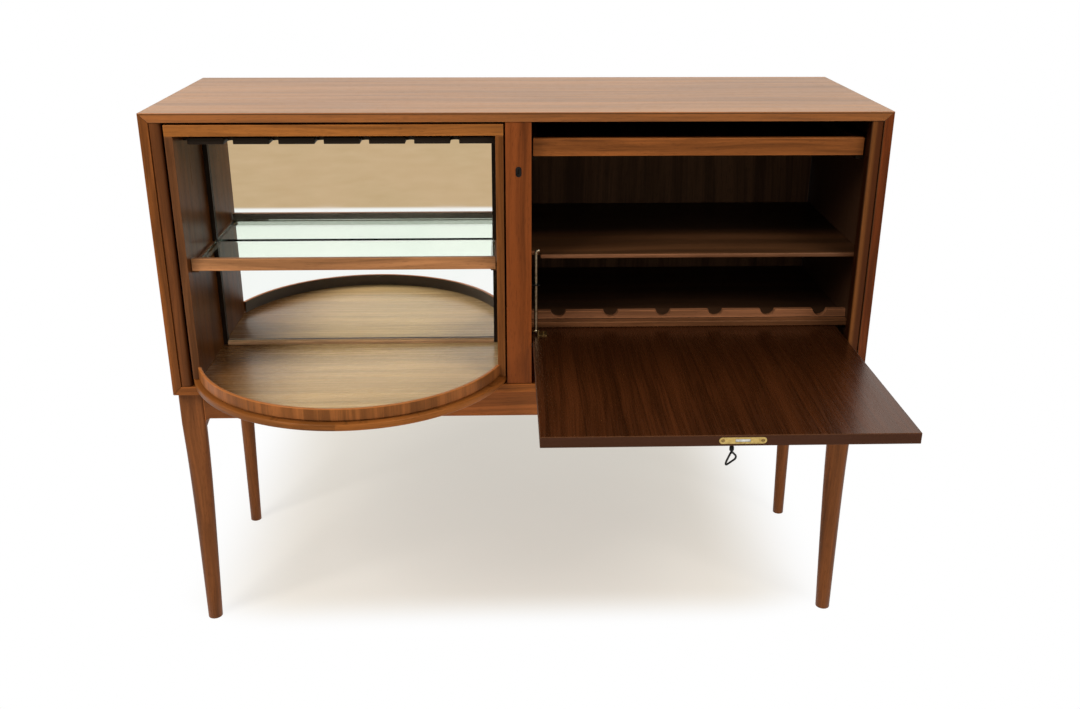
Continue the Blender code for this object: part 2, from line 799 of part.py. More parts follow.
# Glass shelf on two rebated cleats, behind a wooden lip
glass_top = PLATE_TOP + GLASS_RISE
glass_low = glass_top - GLASS_THICK
lip_v = REVEAL + LIP_SET
cleat_v = lip_v + LIP_THICK + JOINT
cleat_end = STRIP_FACE - JOINT
box(
    "shelf_lip",
    (BAR_IN_LEFT + LIP_END_GAP, lip_v, glass_top + LIP_ABOVE - LIP_HIGH),
    (BAR_IN_RIGHT - LIP_END_GAP, lip_v + LIP_THICK, glass_top + LIP_ABOVE),
    TEAK,
    bar_axis,
    edge=0.0015,
)
for name, wall_x, inward in (
    ("shelf_cleat_left", BAR_IN_LEFT + JOINT, 1),
    ("shelf_cleat_right", BAR_IN_RIGHT - JOINT, -1),
):
    cleat_outline = [
        (wall_x, glass_top - CLEAT_HIGH),
        (wall_x + inward * CLEAT_WIDE, glass_top - CLEAT_HIGH),
        (wall_x + inward * CLEAT_WIDE, glass_low - JOINT),
        (wall_x + inward * CLEAT_WALL, glass_low - JOINT),
        (wall_x + inward * CLEAT_WALL, glass_top),
        (wall_x, glass_top),
    ]
    slab(name, [cleat_outline], "Y", cleat_v, cleat_end, TEAK, bar_axis)
box(
    "glass_shelf",
    (BAR_IN_LEFT + CLEAT_WALL + 2 * JOINT, cleat_v, glass_low),
    (BAR_IN_RIGHT - CLEAT_WALL - 2 * JOINT, cleat_end, glass_top),
    GLASS_LOOK,
    bar_axis,
    edge=0.0005,
)

# Stemware rack: a comb hung from a spacer under the bar's top, counted from the right
rack_high = BAR_CEILING - RACK_DROP
rack_v = REVEAL + RACK_SET
rack_left = BAR_IN_LEFT + JOINT
rack_right = BAR_IN_RIGHT - JOINT
slot_count = int((rack_right - rack_left) / (SLAT_WIDE + SLOT_WIDE))
comb = [(rack_left, rack_v + RACK_DEEP), (rack_left, rack_v)]
for i in reversed(range(slot_count)):
    slot_x = rack_right - SLAT_WIDE - SLOT_WIDE / 2 - i * (SLAT_WIDE + SLOT_WIDE)
    if slot_x - SLOT_WIDE < rack_left:
        comb = [(rack_left, rack_v + RACK_DEEP), (rack_left, rack_v + SLOT_DEEP)]
        comb += [(slot_x + SLOT_WIDE / 2, rack_v + SLOT_DEEP), (slot_x + SLOT_WIDE / 2, rack_v)]
        continue
    slot_end = rack_v + SLOT_DEEP - SLOT_WIDE / 2
    comb += [(slot_x - SLOT_WIDE / 2, rack_v)]
    comb += arc(slot_x, slot_end, SLOT_WIDE / 2, 180, 0, 10)
    comb += [(slot_x + SLOT_WIDE / 2, rack_v)]
comb += [(rack_right, rack_v), (rack_right, rack_v + RACK_DEEP)]
slab("glass_rack", [comb], "Z", rack_high - RACK_THICK, rack_high, RACK_WOOD, bar_axis)
box(
    "rack_spacer",
    (rack_left, rack_v + RACK_DEEP - RACK_SPACER_DEEP, rack_high + JOINT),
    (rack_right, rack_v + RACK_DEEP, BAR_CEILING - JOINT),
    RACK_WOOD,
    bar_axis,
    edge=0,
)

# Drop flap, lying open
flap_panel = box(
    "flap_panel",
    (FLAP_LEFT, FLAP_TIP, FLAP_UNDER),
    (FLAP_RIGHT, FLAP_END, FLAP_TOP),
    TEAK_FLAP,
    flap_axis,
    edge=0.001,
)
for name, edge_x in (("left", STILE_RIGHT), ("right", JAMB_RIGHT)):
    rod(
        "flap_pin_" + name,
        (edge_x, FLAP_V, FLAP_Z),
        "X",
        FLAP_PIN_R,
        2 * FLAP_PIN_HALF,
        STEEL,
    )
    bore = rod(
        "flap_bore_" + name,
        (edge_x, FLAP_V, FLAP_Z),
        "X",
        FLAP_PIN_R + RUNNING,
        2 * (FLAP_PIN_HALF + JOINT),
        None,
        helper=True,
    )
    joined(flap_panel, bore)
    joined(stile if name == "left" else right_jamb, bore)

# Lock let into the flap's free edge: case, plate with round ends, bolt
case_v = FLAP_TIP + LOCK_PLATE_THICK + 2 * JOINT
case_end = case_v + LOCK_CASE_DEEP
lock_pocket = box(
    "lock_pocket",
    (LOCK_X - LOCK_CASE_LONG / 2 - JOINT, FLAP_TIP - PANEL, FLAP_Z - LOCK_CASE_HIGH / 2 - JOINT),
    (LOCK_X + LOCK_CASE_LONG / 2 + JOINT, case_end + JOINT, FLAP_Z + LOCK_CASE_HIGH / 2 + JOINT),
    None,
    flap_axis,
    helper=True,
)
plate_pocket = slab(
    "plate_pocket",
    [stadium(LOCK_X, FLAP_Z, LOCK_PLATE_LONG + 2 * JOINT, LOCK_PLATE_HIGH + 2 * JOINT)],
    "Y",
    FLAP_TIP - PANEL,
    FLAP_TIP + LOCK_PLATE_THICK + JOINT,
    None,
    flap_axis,
    helper=True,
)
key_hole = rod(
    "key_hole",
    (KEY_X, KEY_V, FLAP_UNDER),
    "Z",
    KEY_BIT_REACH + 2 * JOINT,
    FLAP_THICK - LOCK_CASE_HIGH / 2,
    None,
    flap_axis,
    helper=True,
)
joined(flap_panel, lock_pocket)
joined(flap_panel, plate_pocket)
joined(flap_panel, key_hole)
lock_case = box(
    "flap_lock_case",
    (LOCK_X - LOCK_CASE_LONG / 2, case_v, FLAP_Z - LOCK_CASE_HIGH / 2),
    (LOCK_X + LOCK_CASE_LONG / 2, case_end, FLAP_Z + LOCK_CASE_HIGH / 2),
    STEEL,
    flap_axis,
    edge=0,
)
lock_plate = slab(
    "flap_lock_plate",
    [stadium(LOCK_X, FLAP_Z, LOCK_PLATE_LONG, LOCK_PLATE_HIGH)],
    "Y",
    FLAP_TIP,
    FLAP_TIP + LOCK_PLATE_THICK,
    BRASS,
    flap_axis,
)
bolt_end = FLAP_TIP + JOINT + LOCK_BOLT_LONG
box(
    "flap_lock_bolt",
    (LOCK_X - LOCK_BOLT_WIDE / 2, FLAP_TIP + JOINT, FLAP_Z - LOCK_BOLT_THICK / 2),
    (LOCK_X + LOCK_BOLT_WIDE / 2, bolt_end, FLAP_Z + LOCK_BOLT_THICK / 2),
    BRASS,
    lock_axis,
    edge=0,
)
bolt_way = box(
    "flap_bolt_way",
    (
        LOCK_X - LOCK_BOLT_WIDE / 2 - LOCK_FIT,
        FLAP_TIP - PANEL,
        FLAP_Z - LOCK_BOLT_THICK / 2 - LOCK_FIT,
    ),
    (
        LOCK_X + LOCK_BOLT_WIDE / 2 + LOCK_FIT,
        bolt_end + LOCK_FIT,
        FLAP_Z + LOCK_BOLT_THICK / 2 + LOCK_FIT,
    ),
    None,
    flap_axis,
    helper=True,
)
key_cavity = rod(
    "key_cavity",
    (KEY_X, KEY_V, FLAP_Z - LOCK_CASE_HIGH / 4),
    "Z",
    KEY_BIT_REACH + JOINT,
    LOCK_CASE_HIGH,
    None,
    flap_axis,
    helper=True,
)
joined(lock_case, bolt_way)
joined(lock_case, key_cavity)
joined(lock_plate, bolt_way)
# The bolt of the closed flap enters the top panel
joined(
    top_panel,
    box(
        "flap_bolt_mortise",
        (
            LOCK_X - LOCK_BOLT_WIDE / 2 - LOCK_FIT,
            FLAP_V - LOCK_BOLT_THICK / 2 - LOCK_FIT,
            OPEN_HIGH - PANEL,
        ),
        (
            LOCK_X + LOCK_BOLT_WIDE / 2 + LOCK_FIT,
            FLAP_V + LOCK_BOLT_THICK / 2 + LOCK_FIT,
            OPEN_HIGH + LOCK_THROW - FLAP_END_GAP + 2 * JOINT,
        ),
        None,
        helper=True,
    ),
)

# Key hanging from the flap's outer face: three-cornered bow, collar, shank and bit in one piece
bow_top = FLAP_UNDER - KEY_DROP
bow_low = bow_top - KEY_BOW_FALL
bow_slope = math.degrees(math.atan2(KEY_BOW_SPAN / 2, KEY_BOW_FALL))
bow_rings = []
for radius in (KEY_BOW_CORNER, KEY_BOW_CORNER - KEY_BOW_BAND):
    bow_rings.append(
        arc(0, bow_top, radius, bow_slope, 180 - bow_slope, 8)
        + arc(-KEY_BOW_SPAN / 2, bow_low, radius, 180 - bow_slope, 270, 8)
        + arc(KEY_BOW_SPAN / 2, bow_low, radius, 270, 360 + bow_slope, 8)
    )
key = slab(
    "key",
    bow_rings,
    "Y",
    KEY_V - KEY_BOW_THICK / 2,
    KEY_V + KEY_BOW_THICK / 2,
    BLACK_IRON,
    key_axis,
)
key.location.x = KEY_X
key.rotation_euler.z = math.radians(KEY_BOW_TURN)
key_end = FLAP_Z + LOCK_CASE_HIGH / 4 - 2 * JOINT
bow_head = bow_top + KEY_BOW_CORNER
collar_low = bow_head + KEY_NECK_HIGH
shank = turned(
    "key_shank",
    [
        (0, key_end),
        (KEY_SHANK_R, key_end),
        (KEY_SHANK_R, collar_low + KEY_COLLAR_HIGH),
        (KEY_COLLAR_R, collar_low + KEY_COLLAR_HIGH * 0.75),
        (KEY_COLLAR_R, collar_low + KEY_COLLAR_HIGH * 0.30),
        (KEY_NECK_R, collar_low),
        (KEY_NECK_R, bow_head - KEY_BOW_BAND / 2),
        (0, bow_head - KEY_BOW_BAND / 2),
    ],
    None,
    (KEY_X, KEY_V, 0),
    key_axis,
    steps=20,
    helper=True,
)
key_bit = box(
    "key_bit",
    (KEY_X - KEY_BIT_REACH + JOINT, KEY_V - KEY_SHANK_R / 2, FLAP_Z - LOCK_CASE_HIGH / 4),
    (KEY_X, KEY_V + KEY_SHANK_R / 2, key_end - JOINT),
    None,
    key_axis,
    helper=True,
)
joined(key, shank, "UNION")
joined(key, key_bit, "UNION")

# Flap stay: a rod pinned to the flap's tail that slides through a keeper on the partition
# How the rod leans back as the flap closes, worked out from both ends of the travel
closed_v = FLAP_V + (STAY_Z - FLAP_Z)
closed_z = FLAP_Z - STAY_BACK
closed_lean = math.atan2(STAY_V - closed_v, KEEPER_Z - closed_z)
crossings = []
for step in range(31):
    part = step / 30
    angle = part * math.pi / 2
    pin_v = FLAP_V + STAY_BACK * math.cos(angle) + (STAY_Z - FLAP_Z) * math.sin(angle)
    pin_z = FLAP_Z - STAY_BACK * math.sin(angle) + (STAY_Z - FLAP_Z) * math.cos(angle)
    crossings.append(pin_v + (KEEPER_Z - pin_z) * math.tan(closed_lean * part))
eye_low = min(crossings) - STAY_ROD_R - STAY_PLAY
eye_high = max(crossings) + STAY_ROD_R + STAY_PLAY
hook = STAY_ROD_R * 2
stay_path = [(STAY_X, STAY_Z + STAY_PIN_R + STAY_ROD_R), (STAY_X, STAY_Z + STAY_LONG - hook)]
stay_path += arc(STAY_X + hook, STAY_Z + STAY_LONG - hook, hook, 180, 90, 6)[1:]
stay_path += [(STAY_X + STAY_HOOK, STAY_Z + STAY_LONG)]
stay_curve = bpy.data.curves.new("stay_path", "CURVE")
stay_curve.dimensions = "3D"
stay_curve.bevel_depth = STAY_ROD_R
stay_curve.bevel_resolution = 2
stay_curve.use_fill_caps = True
stay_spline = stay_curve.splines.new("POLY")
stay_spline.points.add(len(stay_path) - 1)
for point, (x, z) in zip(stay_spline.points, stay_path):
    point.co = (x - STAY_X, 0, z - STAY_Z, 1)
stay_drawn = bpy.data.objects.new("stay_path", stay_curve)
stay_mesh = bpy.data.meshes.new_from_object(
    stay_drawn.evaluated_get(bpy.context.evaluated_depsgraph_get())
)
bpy.data.objects.remove(stay_drawn)
bm = bmesh.new()
bm.from_mesh(stay_mesh)
bmesh.ops.remove_doubles(bm, verts=bm.verts, dist=1e-6)
bmesh.ops.recalc_face_normals(bm, faces=bm.faces)
bm.to_mesh(stay_mesh)
bm.free()
stay_rod = added("stay_rod", stay_mesh, BRASS, stay_axis)
stay_rod.location = (STAY_X, FRONT + STAY_V, STAY_Z)
stay_eye = rod(
    "stay_eye",
    (STAY_X, STAY_V, STAY_Z),
    "X",
    STAY_EYE_R,
    STAY_EYE_WIDE,
    None,
    stay_axis,
    helper=True,
)
joined(stay_rod, stay_eye, "UNION")
stay_bore = rod(
    "stay_bore",
    (STAY_X, STAY_V, STAY_Z),
    "X",
    STAY_PIN_R + RUNNING,
    STAY_EYE_WIDE * 2,
    None,
    stay_axis,
    helper=True,
)
joined(stay_rod, stay_bore)
# Lug on the flap's tail and the pin that carries the rod's eye
ear_x = STAY_X + STAY_EYE_WIDE / 2 + STAY_PLAY
lug_low = FLAP_TOP + JOINT
ear_high = STAY_Z + STAY_PIN_R * 2
lug_outline = [
    (ear_x, lug_low),
    (ear_x + LUG_WIDE, lug_low),
    (ear_x + LUG_WIDE, lug_low + LUG_THICK),
    (ear_x + LUG_THICK, lug_low + LUG_THICK),
    (ear_x + LUG_THICK, ear_high),
    (ear_x, ear_high),
]
stay_lug = slab(
    "stay_lug",
    [lug_outline],
    "Y",
    STAY_V - LUG_LONG / 2,
    STAY_V + LUG_LONG / 2,
    BRASS,
    flap_axis,
)
pin_left = STAY_X - STAY_EYE_WIDE / 2 - STAY_PLAY
pin_right = ear_x + LUG_THICK + STAY_PLAY
rod(
    "stay_pin",
    ((pin_left + pin_right) / 2, STAY_V, STAY_Z),
    "X",
    STAY_PIN_R,
    pin_right - pin_left,
    STEEL,
    flap_axis,
)
joined(
    stay_lug,
    rod(
        "lug_bore",
        (ear_x, STAY_V, STAY_Z),
        "X",
        STAY_PIN_R + RUNNING,
        LUG_THICK * 6,
        None,
        flap_axis,
        helper=True,
    ),
)
# Keeper: a bracket on the partition with a long eye for the rod
keeper_end = STAY_X + STAY_ROD_R + STAY_PLAY + KEEPER_WALL
keeper_low = KEEPER_Z - KEEPER_THICK / 2
keeper_root = PARTITION_RIGHT + JOINT
keeper_outline = [
    (keeper_root, keeper_low),
    (keeper_end, keeper_low),
    (keeper_end, keeper_low + KEEPER_THICK),
    (keeper_root + KEEPER_THICK, keeper_low + KEEPER_THICK),
    (keeper_root + KEEPER_THICK, keeper_low + KEEPER_FLANGE),
    (keeper_root, keeper_low + KEEPER_FLANGE),
]
stay_keeper = slab(
    "stay_keeper",
    [keeper_outline],
    "Y",
    eye_low - KEEPER_WALL,
    eye_high + KEEPER_WALL,
    STEEL,
)
eye_half = STAY_ROD_R + STAY_PLAY
eye_outline = arc(STAY_X, eye_low + eye_half, eye_half, 180, 360, 8)
eye_outline += arc(STAY_X, eye_high - eye_half, eye_half, 0, 180, 8)
keeper_eye = slab(
    "keeper_eye",
    [eye_outline],
    "Z",
    keeper_low - KEEPER_THICK,
    keeper_low + 2 * KEEPER_THICK,
    None,
    helper=True,
)
joined(stay_keeper, keeper_eye)

# Right interior: floor, the rail that stops the flap's tail, and the rest for bottle necks
right_low = PARTITION_RIGHT + JOINT
right_high = INNER - JOINT
box(
    "inner_floor",
    (PARTITION_RIGHT - DADO + JOINT, RAIL_V + RAIL_DEEP + JOINT, FLOOR_TOP - FLOOR_THICK),
    (INNER + DADO - JOINT, BACK_FACE - JOINT, FLOOR_TOP),
    TEAK_INSIDE,
    edge=0,
)
box(
    "floor_rail",
    (right_low, RAIL_V, RAIL_LOW),
    (right_high, RAIL_V + RAIL_DEEP, RAIL_TOP),
    TEAK_INSIDE,
    edge=0.0015,
)
rest_low = FLOOR_TOP + JOINT
rest_high = rest_low + REST_HIGH
rest_mid = (FLAP_LEFT + JAMB_RIGHT) / 2 + REST_THICK
notch_low = math.degrees(math.asin((NOTCH_R - NOTCH_DEEP) / NOTCH_R))
rest_outline = [(right_low, rest_low), (right_low, rest_high)]
for i in range(NOTCH_COUNT):
    notch_x = rest_mid + (i - (NOTCH_COUNT - 1) / 2) * NOTCH_PITCH
    notch_z = rest_high + NOTCH_R - NOTCH_DEEP
    rest_outline += arc(notch_x, notch_z, NOTCH_R, 180 + notch_low, 360 - notch_low, 10)
rest_outline += [(right_high, rest_high), (right_high, rest_low)]
slab("bottle_rest", [rest_outline], "Y", REST_V, REST_V + REST_THICK, TEAK_INSIDE)

# Shelf in grooves, with its front left corner cut away for the stay
shelf_left = PARTITION_RIGHT - DADO + JOINT
shelf_right = INNER + DADO - JOINT
notch_right = STAY_X + STAY_HOOK + 2 * STAY_PLAY
shelf_outline = [
    (shelf_left, SHELF_SET + SHELF_NOTCH_DEEP),
    (notch_right, SHELF_SET + SHELF_NOTCH_DEEP),
    (notch_right, SHELF_SET),
    (INNER - JOINT, SHELF_SET),
    (shelf_right, SHELF_SET + JOINT),
    (shelf_right, BACK_FACE - JOINT),
    (shelf_left, BACK_FACE - JOINT),
]
slab(
    "right_shelf",
    [shelf_outline],
    "Z",
    SHELF_TOP - SHELF_THICK,
    SHELF_TOP,
    TEAK_INSIDE,
    edge=SHELF_NOSE,
)

# Shallow tray that pulls out above the shelf, and its two runners
wall_top = TRAY_HIGH - TRAY_WALL_DROP
tray_in_left = TRAY_LEFT + TRAY_WALL
tray_in_right = TRAY_RIGHT - TRAY_WALL
base_top = TRAY_BASE_LOW + TRAY_BASE
box(
    "tray_front",
    (TRAY_LEFT, TRAY_V, TRAY_LOW),
    (TRAY_RIGHT, TRAY_V + TRAY_FRONT_THICK, TRAY_HIGH),
    TEAK,
    tray_axis,
)
box(
    "tray_base",
    (TRAY_LEFT, TRAY_BODY_V, TRAY_BASE_LOW),
    (TRAY_RIGHT, TRAY_END, base_top),
    TEAK_INSIDE,
    tray_axis,
    edge=0,
)
box(
    "tray_wall_left",
    (TRAY_LEFT, TRAY_BODY_V, base_top + JOINT),
    (tray_in_left, TRAY_END, wall_top),
    TEAK_INSIDE,
    tray_axis,
)
box(
    "tray_wall_right",
    (tray_in_right, TRAY_BODY_V, base_top + JOINT),
    (TRAY_RIGHT, TRAY_END, wall_top),
    TEAK_INSIDE,
    tray_axis,
)
box(
    "tray_back",
    (tray_in_left + JOINT, TRAY_END - TRAY_WALL, base_top + JOINT),
    (tray_in_right - JOINT, TRAY_END, wall_top),
    TEAK_INSIDE,
    tray_axis,
)
runner_low = TRAY_BASE_LOW - RUNNER_PLAY - RUNNER_DEEP
for name, wall_x, side_x, inward in (
    ("tray_runner_left", right_low, TRAY_LEFT, 1),
    ("tray_runner_right", right_high, TRAY_RIGHT, -1),
):
    runner_outline = [
        (wall_x, runner_low),
        (side_x + inward * RUNNER_LEDGE, runner_low),
        (side_x + inward * RUNNER_LEDGE, TRAY_BASE_LOW - RUNNER_PLAY),
        (side_x - inward * RUNNER_PLAY, TRAY_BASE_LOW - RUNNER_PLAY),
        (side_x - inward * RUNNER_PLAY, wall_top),
        (wall_x, wall_top),
    ]
    slab(name, [runner_outline], "Y", TRAY_BODY_V, BACK_FACE - JOINT, TEAK_INSIDE)

# Stile lock: plate with a keyhole, and a bolt in the stile that enters the bar's edge
def upright(wide, high):
    """A round-ended outline standing at the keyhole."""
    return [(STILE_OFFSET + b, KEYHOLE_Z + a) for a, b in stadium(0, 0, high, wide)]


joined(
    stile,
    slab(
        "keyhole_seat",
        [upright(KEYHOLE_WIDE + 2 * JOINT, KEYHOLE_HIGH + 2 * JOINT)],
        "Y",
        REVEAL - PANEL,
        REVEAL + KEYHOLE_PLATE + JOINT,
        None,
        helper=True,
    ),
)
slab(
    "keyhole_plate",
    [upright(KEYHOLE_WIDE, KEYHOLE_HIGH), upright(KEYHOLE_WIDE * 0.3, KEYHOLE_HIGH * 0.55)],
    "Y",
    REVEAL,
    REVEAL + KEYHOLE_PLATE,
    BLACK_IRON,
)
bolt_left = STILE_LEFT + BAR_BOLT_BACK
box(
    "bar_lock_bolt",
    (bolt_left, BAR_BOLT_V - BAR_BOLT_THICK / 2, KEYHOLE_Z - BAR_BOLT_HIGH / 2),
    (bolt_left + BAR_BOLT_LONG, BAR_BOLT_V + BAR_BOLT_THICK / 2, KEYHOLE_Z + BAR_BOLT_HIGH / 2),
    BRASS,
    bar_bolt_axis,
    edge=0,
)
joined(
    stile,
    box(
        "bar_bolt_way",
        (
            STILE_LEFT - PANEL,
            BAR_BOLT_V - BAR_BOLT_THICK / 2 - LOCK_FIT,
            KEYHOLE_Z - BAR_BOLT_HIGH / 2 - LOCK_FIT,
        ),
        (
            bolt_left + BAR_BOLT_LONG + LOCK_FIT,
            BAR_BOLT_V + BAR_BOLT_THICK / 2 + LOCK_FIT,
            KEYHOLE_Z + BAR_BOLT_HIGH / 2 + LOCK_FIT,
        ),
        None,
        helper=True,
    ),
)
# Matching mortises: one in the upright next to the stile, one in the door's far edge
mortise_deep = BAR_THROW - BAR_BOLT_BACK - BAR_GAP + LOCK_FIT
for target, edge_x, inward, middle_v in (
    (bar_right_side, BAR_X + BAR_HALF, -1, BAR_BOLT_V),
    (bar_door, BAR_X - BAR_HALF, 1, 2 * BAR_V - BAR_BOLT_V),
):
    ends = sorted((edge_x - inward * PANEL, edge_x + inward * mortise_deep))
    joined(
        target,
        box(
            "bolt_mortise_" + target.name,
            (
                ends[0],
                middle_v - BAR_BOLT_THICK / 2 - LOCK_FIT,
                KEYHOLE_Z - BAR_BOLT_HIGH / 2 - LOCK_FIT,
            ),
            (
                ends[1],
                middle_v + BAR_BOLT_THICK / 2 + LOCK_FIT,
                KEYHOLE_Z + BAR_BOLT_HIGH / 2 + LOCK_FIT,
            ),
            None,
            bar_axis,
            helper=True,
        ),
    )
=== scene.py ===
import json
import math

import bmesh
import bpy
from mathutils import Matrix, Vector

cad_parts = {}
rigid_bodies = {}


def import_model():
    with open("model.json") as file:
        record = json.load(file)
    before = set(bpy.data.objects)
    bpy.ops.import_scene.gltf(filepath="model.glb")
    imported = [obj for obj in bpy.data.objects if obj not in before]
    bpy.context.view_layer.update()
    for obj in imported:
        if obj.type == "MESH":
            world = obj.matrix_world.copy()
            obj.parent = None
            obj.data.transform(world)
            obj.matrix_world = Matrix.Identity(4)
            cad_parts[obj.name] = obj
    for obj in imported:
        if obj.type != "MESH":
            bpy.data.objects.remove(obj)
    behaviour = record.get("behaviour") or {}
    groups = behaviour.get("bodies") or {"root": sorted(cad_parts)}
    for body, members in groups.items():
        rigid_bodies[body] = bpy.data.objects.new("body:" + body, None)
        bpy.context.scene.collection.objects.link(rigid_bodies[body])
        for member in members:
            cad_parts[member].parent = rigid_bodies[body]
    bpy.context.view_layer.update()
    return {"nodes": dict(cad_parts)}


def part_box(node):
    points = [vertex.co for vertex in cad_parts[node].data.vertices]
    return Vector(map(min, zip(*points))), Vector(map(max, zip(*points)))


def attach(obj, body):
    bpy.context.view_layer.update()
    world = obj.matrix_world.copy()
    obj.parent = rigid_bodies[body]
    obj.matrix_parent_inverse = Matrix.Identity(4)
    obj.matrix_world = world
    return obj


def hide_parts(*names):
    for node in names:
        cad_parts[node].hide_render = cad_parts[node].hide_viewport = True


for startup_thing in list(bpy.data.objects):
    bpy.data.objects.remove(startup_thing)
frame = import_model()
bpy.ops.object.select_all(action="DESELECT")


# LEGS
# Four solid teak legs, square where they meet the aprons and soon turning round, slimmer behind.
# Each is sawn on a taper, shaved round from its inner corner, oiled, and set with a slight splay.
def put(tree, kind, sockets, **options):
    """Adds one shader node: options are set on it, and each socket takes a value or a link."""
    made = tree.nodes.new("ShaderNode" + kind)
    for option, value in options.items():
        setattr(made, option, value)
    for socket, value in sockets.items():
        if isinstance(value, bpy.types.NodeSocket):
            tree.links.new(value, made.inputs[socket])
        else:
            made.inputs[socket].default_value = value
    return made


def band(tree, amount, start, end, low=0.0, high=1.0):
    """Turns a value between start and end into a soft step from low to high."""
    sockets = {0: amount, 1: start, 2: end, 3: low, 4: high}
    return put(tree, "MapRange", sockets, interpolation_type="SMOOTHSTEP").outputs[0]


def mixed(tree, amount, under, over):
    """Lays one colour over another by an amount."""
    sockets = {}
    for socket, value in ((0, amount), (6, under), (7, over)):
        sockets[socket] = (*value, 1.0) if isinstance(value, tuple) else value
    return put(tree, "Mix", sockets, data_type="RGBA").outputs[2]


def weighed(tree, first, by, second):
    """first times by plus second."""
    return put(tree, "Math", {0: first, 1: by, 2: second}, operation="MULTIPLY_ADD").outputs[0]


def times(tree, first, second):
    """The product of two values."""
    return put(tree, "Math", {0: first, 1: second}, operation="MULTIPLY").outputs[0]


def vector(tree, operation, first, second=(0.0, 0.0, 0.0)):
    """One step of vector arithmetic."""
    return put(tree, "VectorMath", {0: first, 1: second}, operation=operation).outputs[0]


def facing(tree, axis):
    """How far the surface faces along an axis, from -1 to 1."""
    normal = put(tree, "TexCoord", {}).outputs["Normal"]
    return put(tree, "SeparateXYZ", {0: normal}).outputs[axis]


def laid(axis):
    """The turn that lays grain drawn along x along another axis."""
    return {"X": (0, 0, 0), "Y": (0, 0, -math.pi / 2), "Z": (0, math.pi / 2, 0)}[axis]


def tinted(colour, by):
    """A colour made lighter or darker."""
    return tuple(min(channel * by, 1.0) for channel in colour)


def colours(tree, amount, stops):
    """A run of colours over an amount, from (place, colour) stops."""
    made = put(tree, "ValToRGB", {"Fac": amount})
    run = made.color_ramp.elements
    run[0].position = stops[0][0]
    run[1].position = stops[-1][0]
    for place, _ in stops[1:-1]:
        run.new(place)
    for step, (_, colour) in zip(sorted(run, key=lambda each: each.position), stops):
        step.color = (*colour, 1.0)
    return made.outputs["Color"]


def grain(tree, place, along, across, detail=2.0):
    """Noise drawn out along x, as wood fibre is: the two numbers are features per metre."""
    drawn = vector(tree, "MULTIPLY", place, (along, across, across))
    sockets = {"Vector": drawn, "Scale": 1.0, "Detail": detail, "Roughness": 0.55}
    return put(tree, "TexNoise", sockets).outputs["Fac"]


def teak_layer(tree, place, along, mid, veins, start, contrast=1.0):
    """Teak grain on a place in metres: gives colour, fine grain and pores."""
    on_log = (start * 1.7, start * 0.6, start * 0.4)
    sockets = {"Vector": place, "Rotation": laid(along), "Location": on_log}
    lie = put(tree, "Mapping", sockets).outputs[0]
    sway = put(tree, "TexNoise", {"Vector": lie, "Scale": 2.4, "Detail": 2.0}).outputs["Color"]
    sockets = {0: sway, 1: (0.0, 0.034, 0.034), 2: lie}
    bent = put(tree, "VectorMath", sockets, operation="MULTIPLY_ADD").outputs[0]
    figure = grain(tree, bent, along=1.1, across=36.0, detail=3.0)
    fine = grain(tree, bent, along=5.0, across=260.0)
    pores = band(tree, grain(tree, bent, along=55.0, across=1300.0, detail=1.0), 0.60, 0.70)
    cloud = put(tree, "TexNoise", {"Vector": lie, "Scale": 3.1, "Detail": 1.0}).outputs["Fac"]
    tone = weighed(tree, figure, 0.60, weighed(tree, fine, 0.26, weighed(tree, cloud, 0.14, 0.0)))
    dark, light = tinted(mid, 1 - 0.38 * contrast), tinted(mid, 1 + 0.36 * contrast)
    colour = colours(tree, tone, [(0.41, dark), (0.50, mid), (0.59, light)])
    vein = band(tree, grain(tree, bent, along=0.5, across=15.0, detail=3.0), 0.55, 0.72, 0.0, veins)
    colour = mixed(tree, vein, colour, tinted(mid, 0.34))
    soft_pores = times(tree, pores, 0.5 * contrast)
    return mixed(tree, soft_pores, colour, tinted(mid, 0.38)), fine, pores


def rubbed_edges(tree, place, low, high, wide):
    """1 on the arrises of a square piece and 0 away from them, from how near its faces are."""
    away = vector(tree, "ABSOLUTE", vector(tree, "SUBTRACT", place, (low + high) / 2))
    inside = vector(tree, "SUBTRACT", away, (high - low) / 2)
    near = tree.nodes.new("ShaderNodeMapRange")
    near.data_type = "FLOAT_VECTOR"
    near.interpolation_type = "SMOOTHSTEP"
    tree.links.new(inside, near.inputs["Vector"])
    for socket, amount in ((7, -wide), (8, 0.0), (9, 0.0), (10, 1.0)):
        near.inputs[socket].default_value = (amount,) * 3
    faces = put(tree, "VectorMath", {0: near.outputs[1], 1: (1, 1, 1)}, operation="DOT_PRODUCT")
    sockets = {0: faces.outputs["Value"], 1: 1.0}
    return put(tree, "Math", sockets, operation="SUBTRACT", use_clamp=True).outputs[0]


def blank_finish(name):
    """A new material with its node tree, its surface node and the piece's own place."""
    finish = bpy.data.materials.new(name)
    finish.use_nodes = True
    tree = finish.node_tree
    place = put(tree, "TexCoord", {}).outputs["Object"]
    return finish, tree, tree.nodes["Principled BSDF"], place


def coat(tree, surface, colour, fine, pores, polish, relief, gloss=0.14):
    """Joins a wood's colour, its uneven polish and its open pores to the surface."""
    surface.inputs["Specular IOR Level"].default_value = gloss
    surface.inputs["Specular Tint"].default_value = (1.0, 0.85, 0.66, 1.0)
    rough = weighed(tree, fine, 0.20, weighed(tree, pores, 0.12, polish - 0.10))
    height = weighed(tree, fine, 0.7, weighed(tree, pores, -0.8, 0.0))
    bump = put(tree, "Bump", {"Strength": relief, "Distance": 0.0005, "Height": height})
    tree.links.new(colour, surface.inputs["Base Color"])
    tree.links.new(rough, surface.inputs["Roughness"])
    tree.links.new(bump.outputs[0], surface.inputs["Normal"])


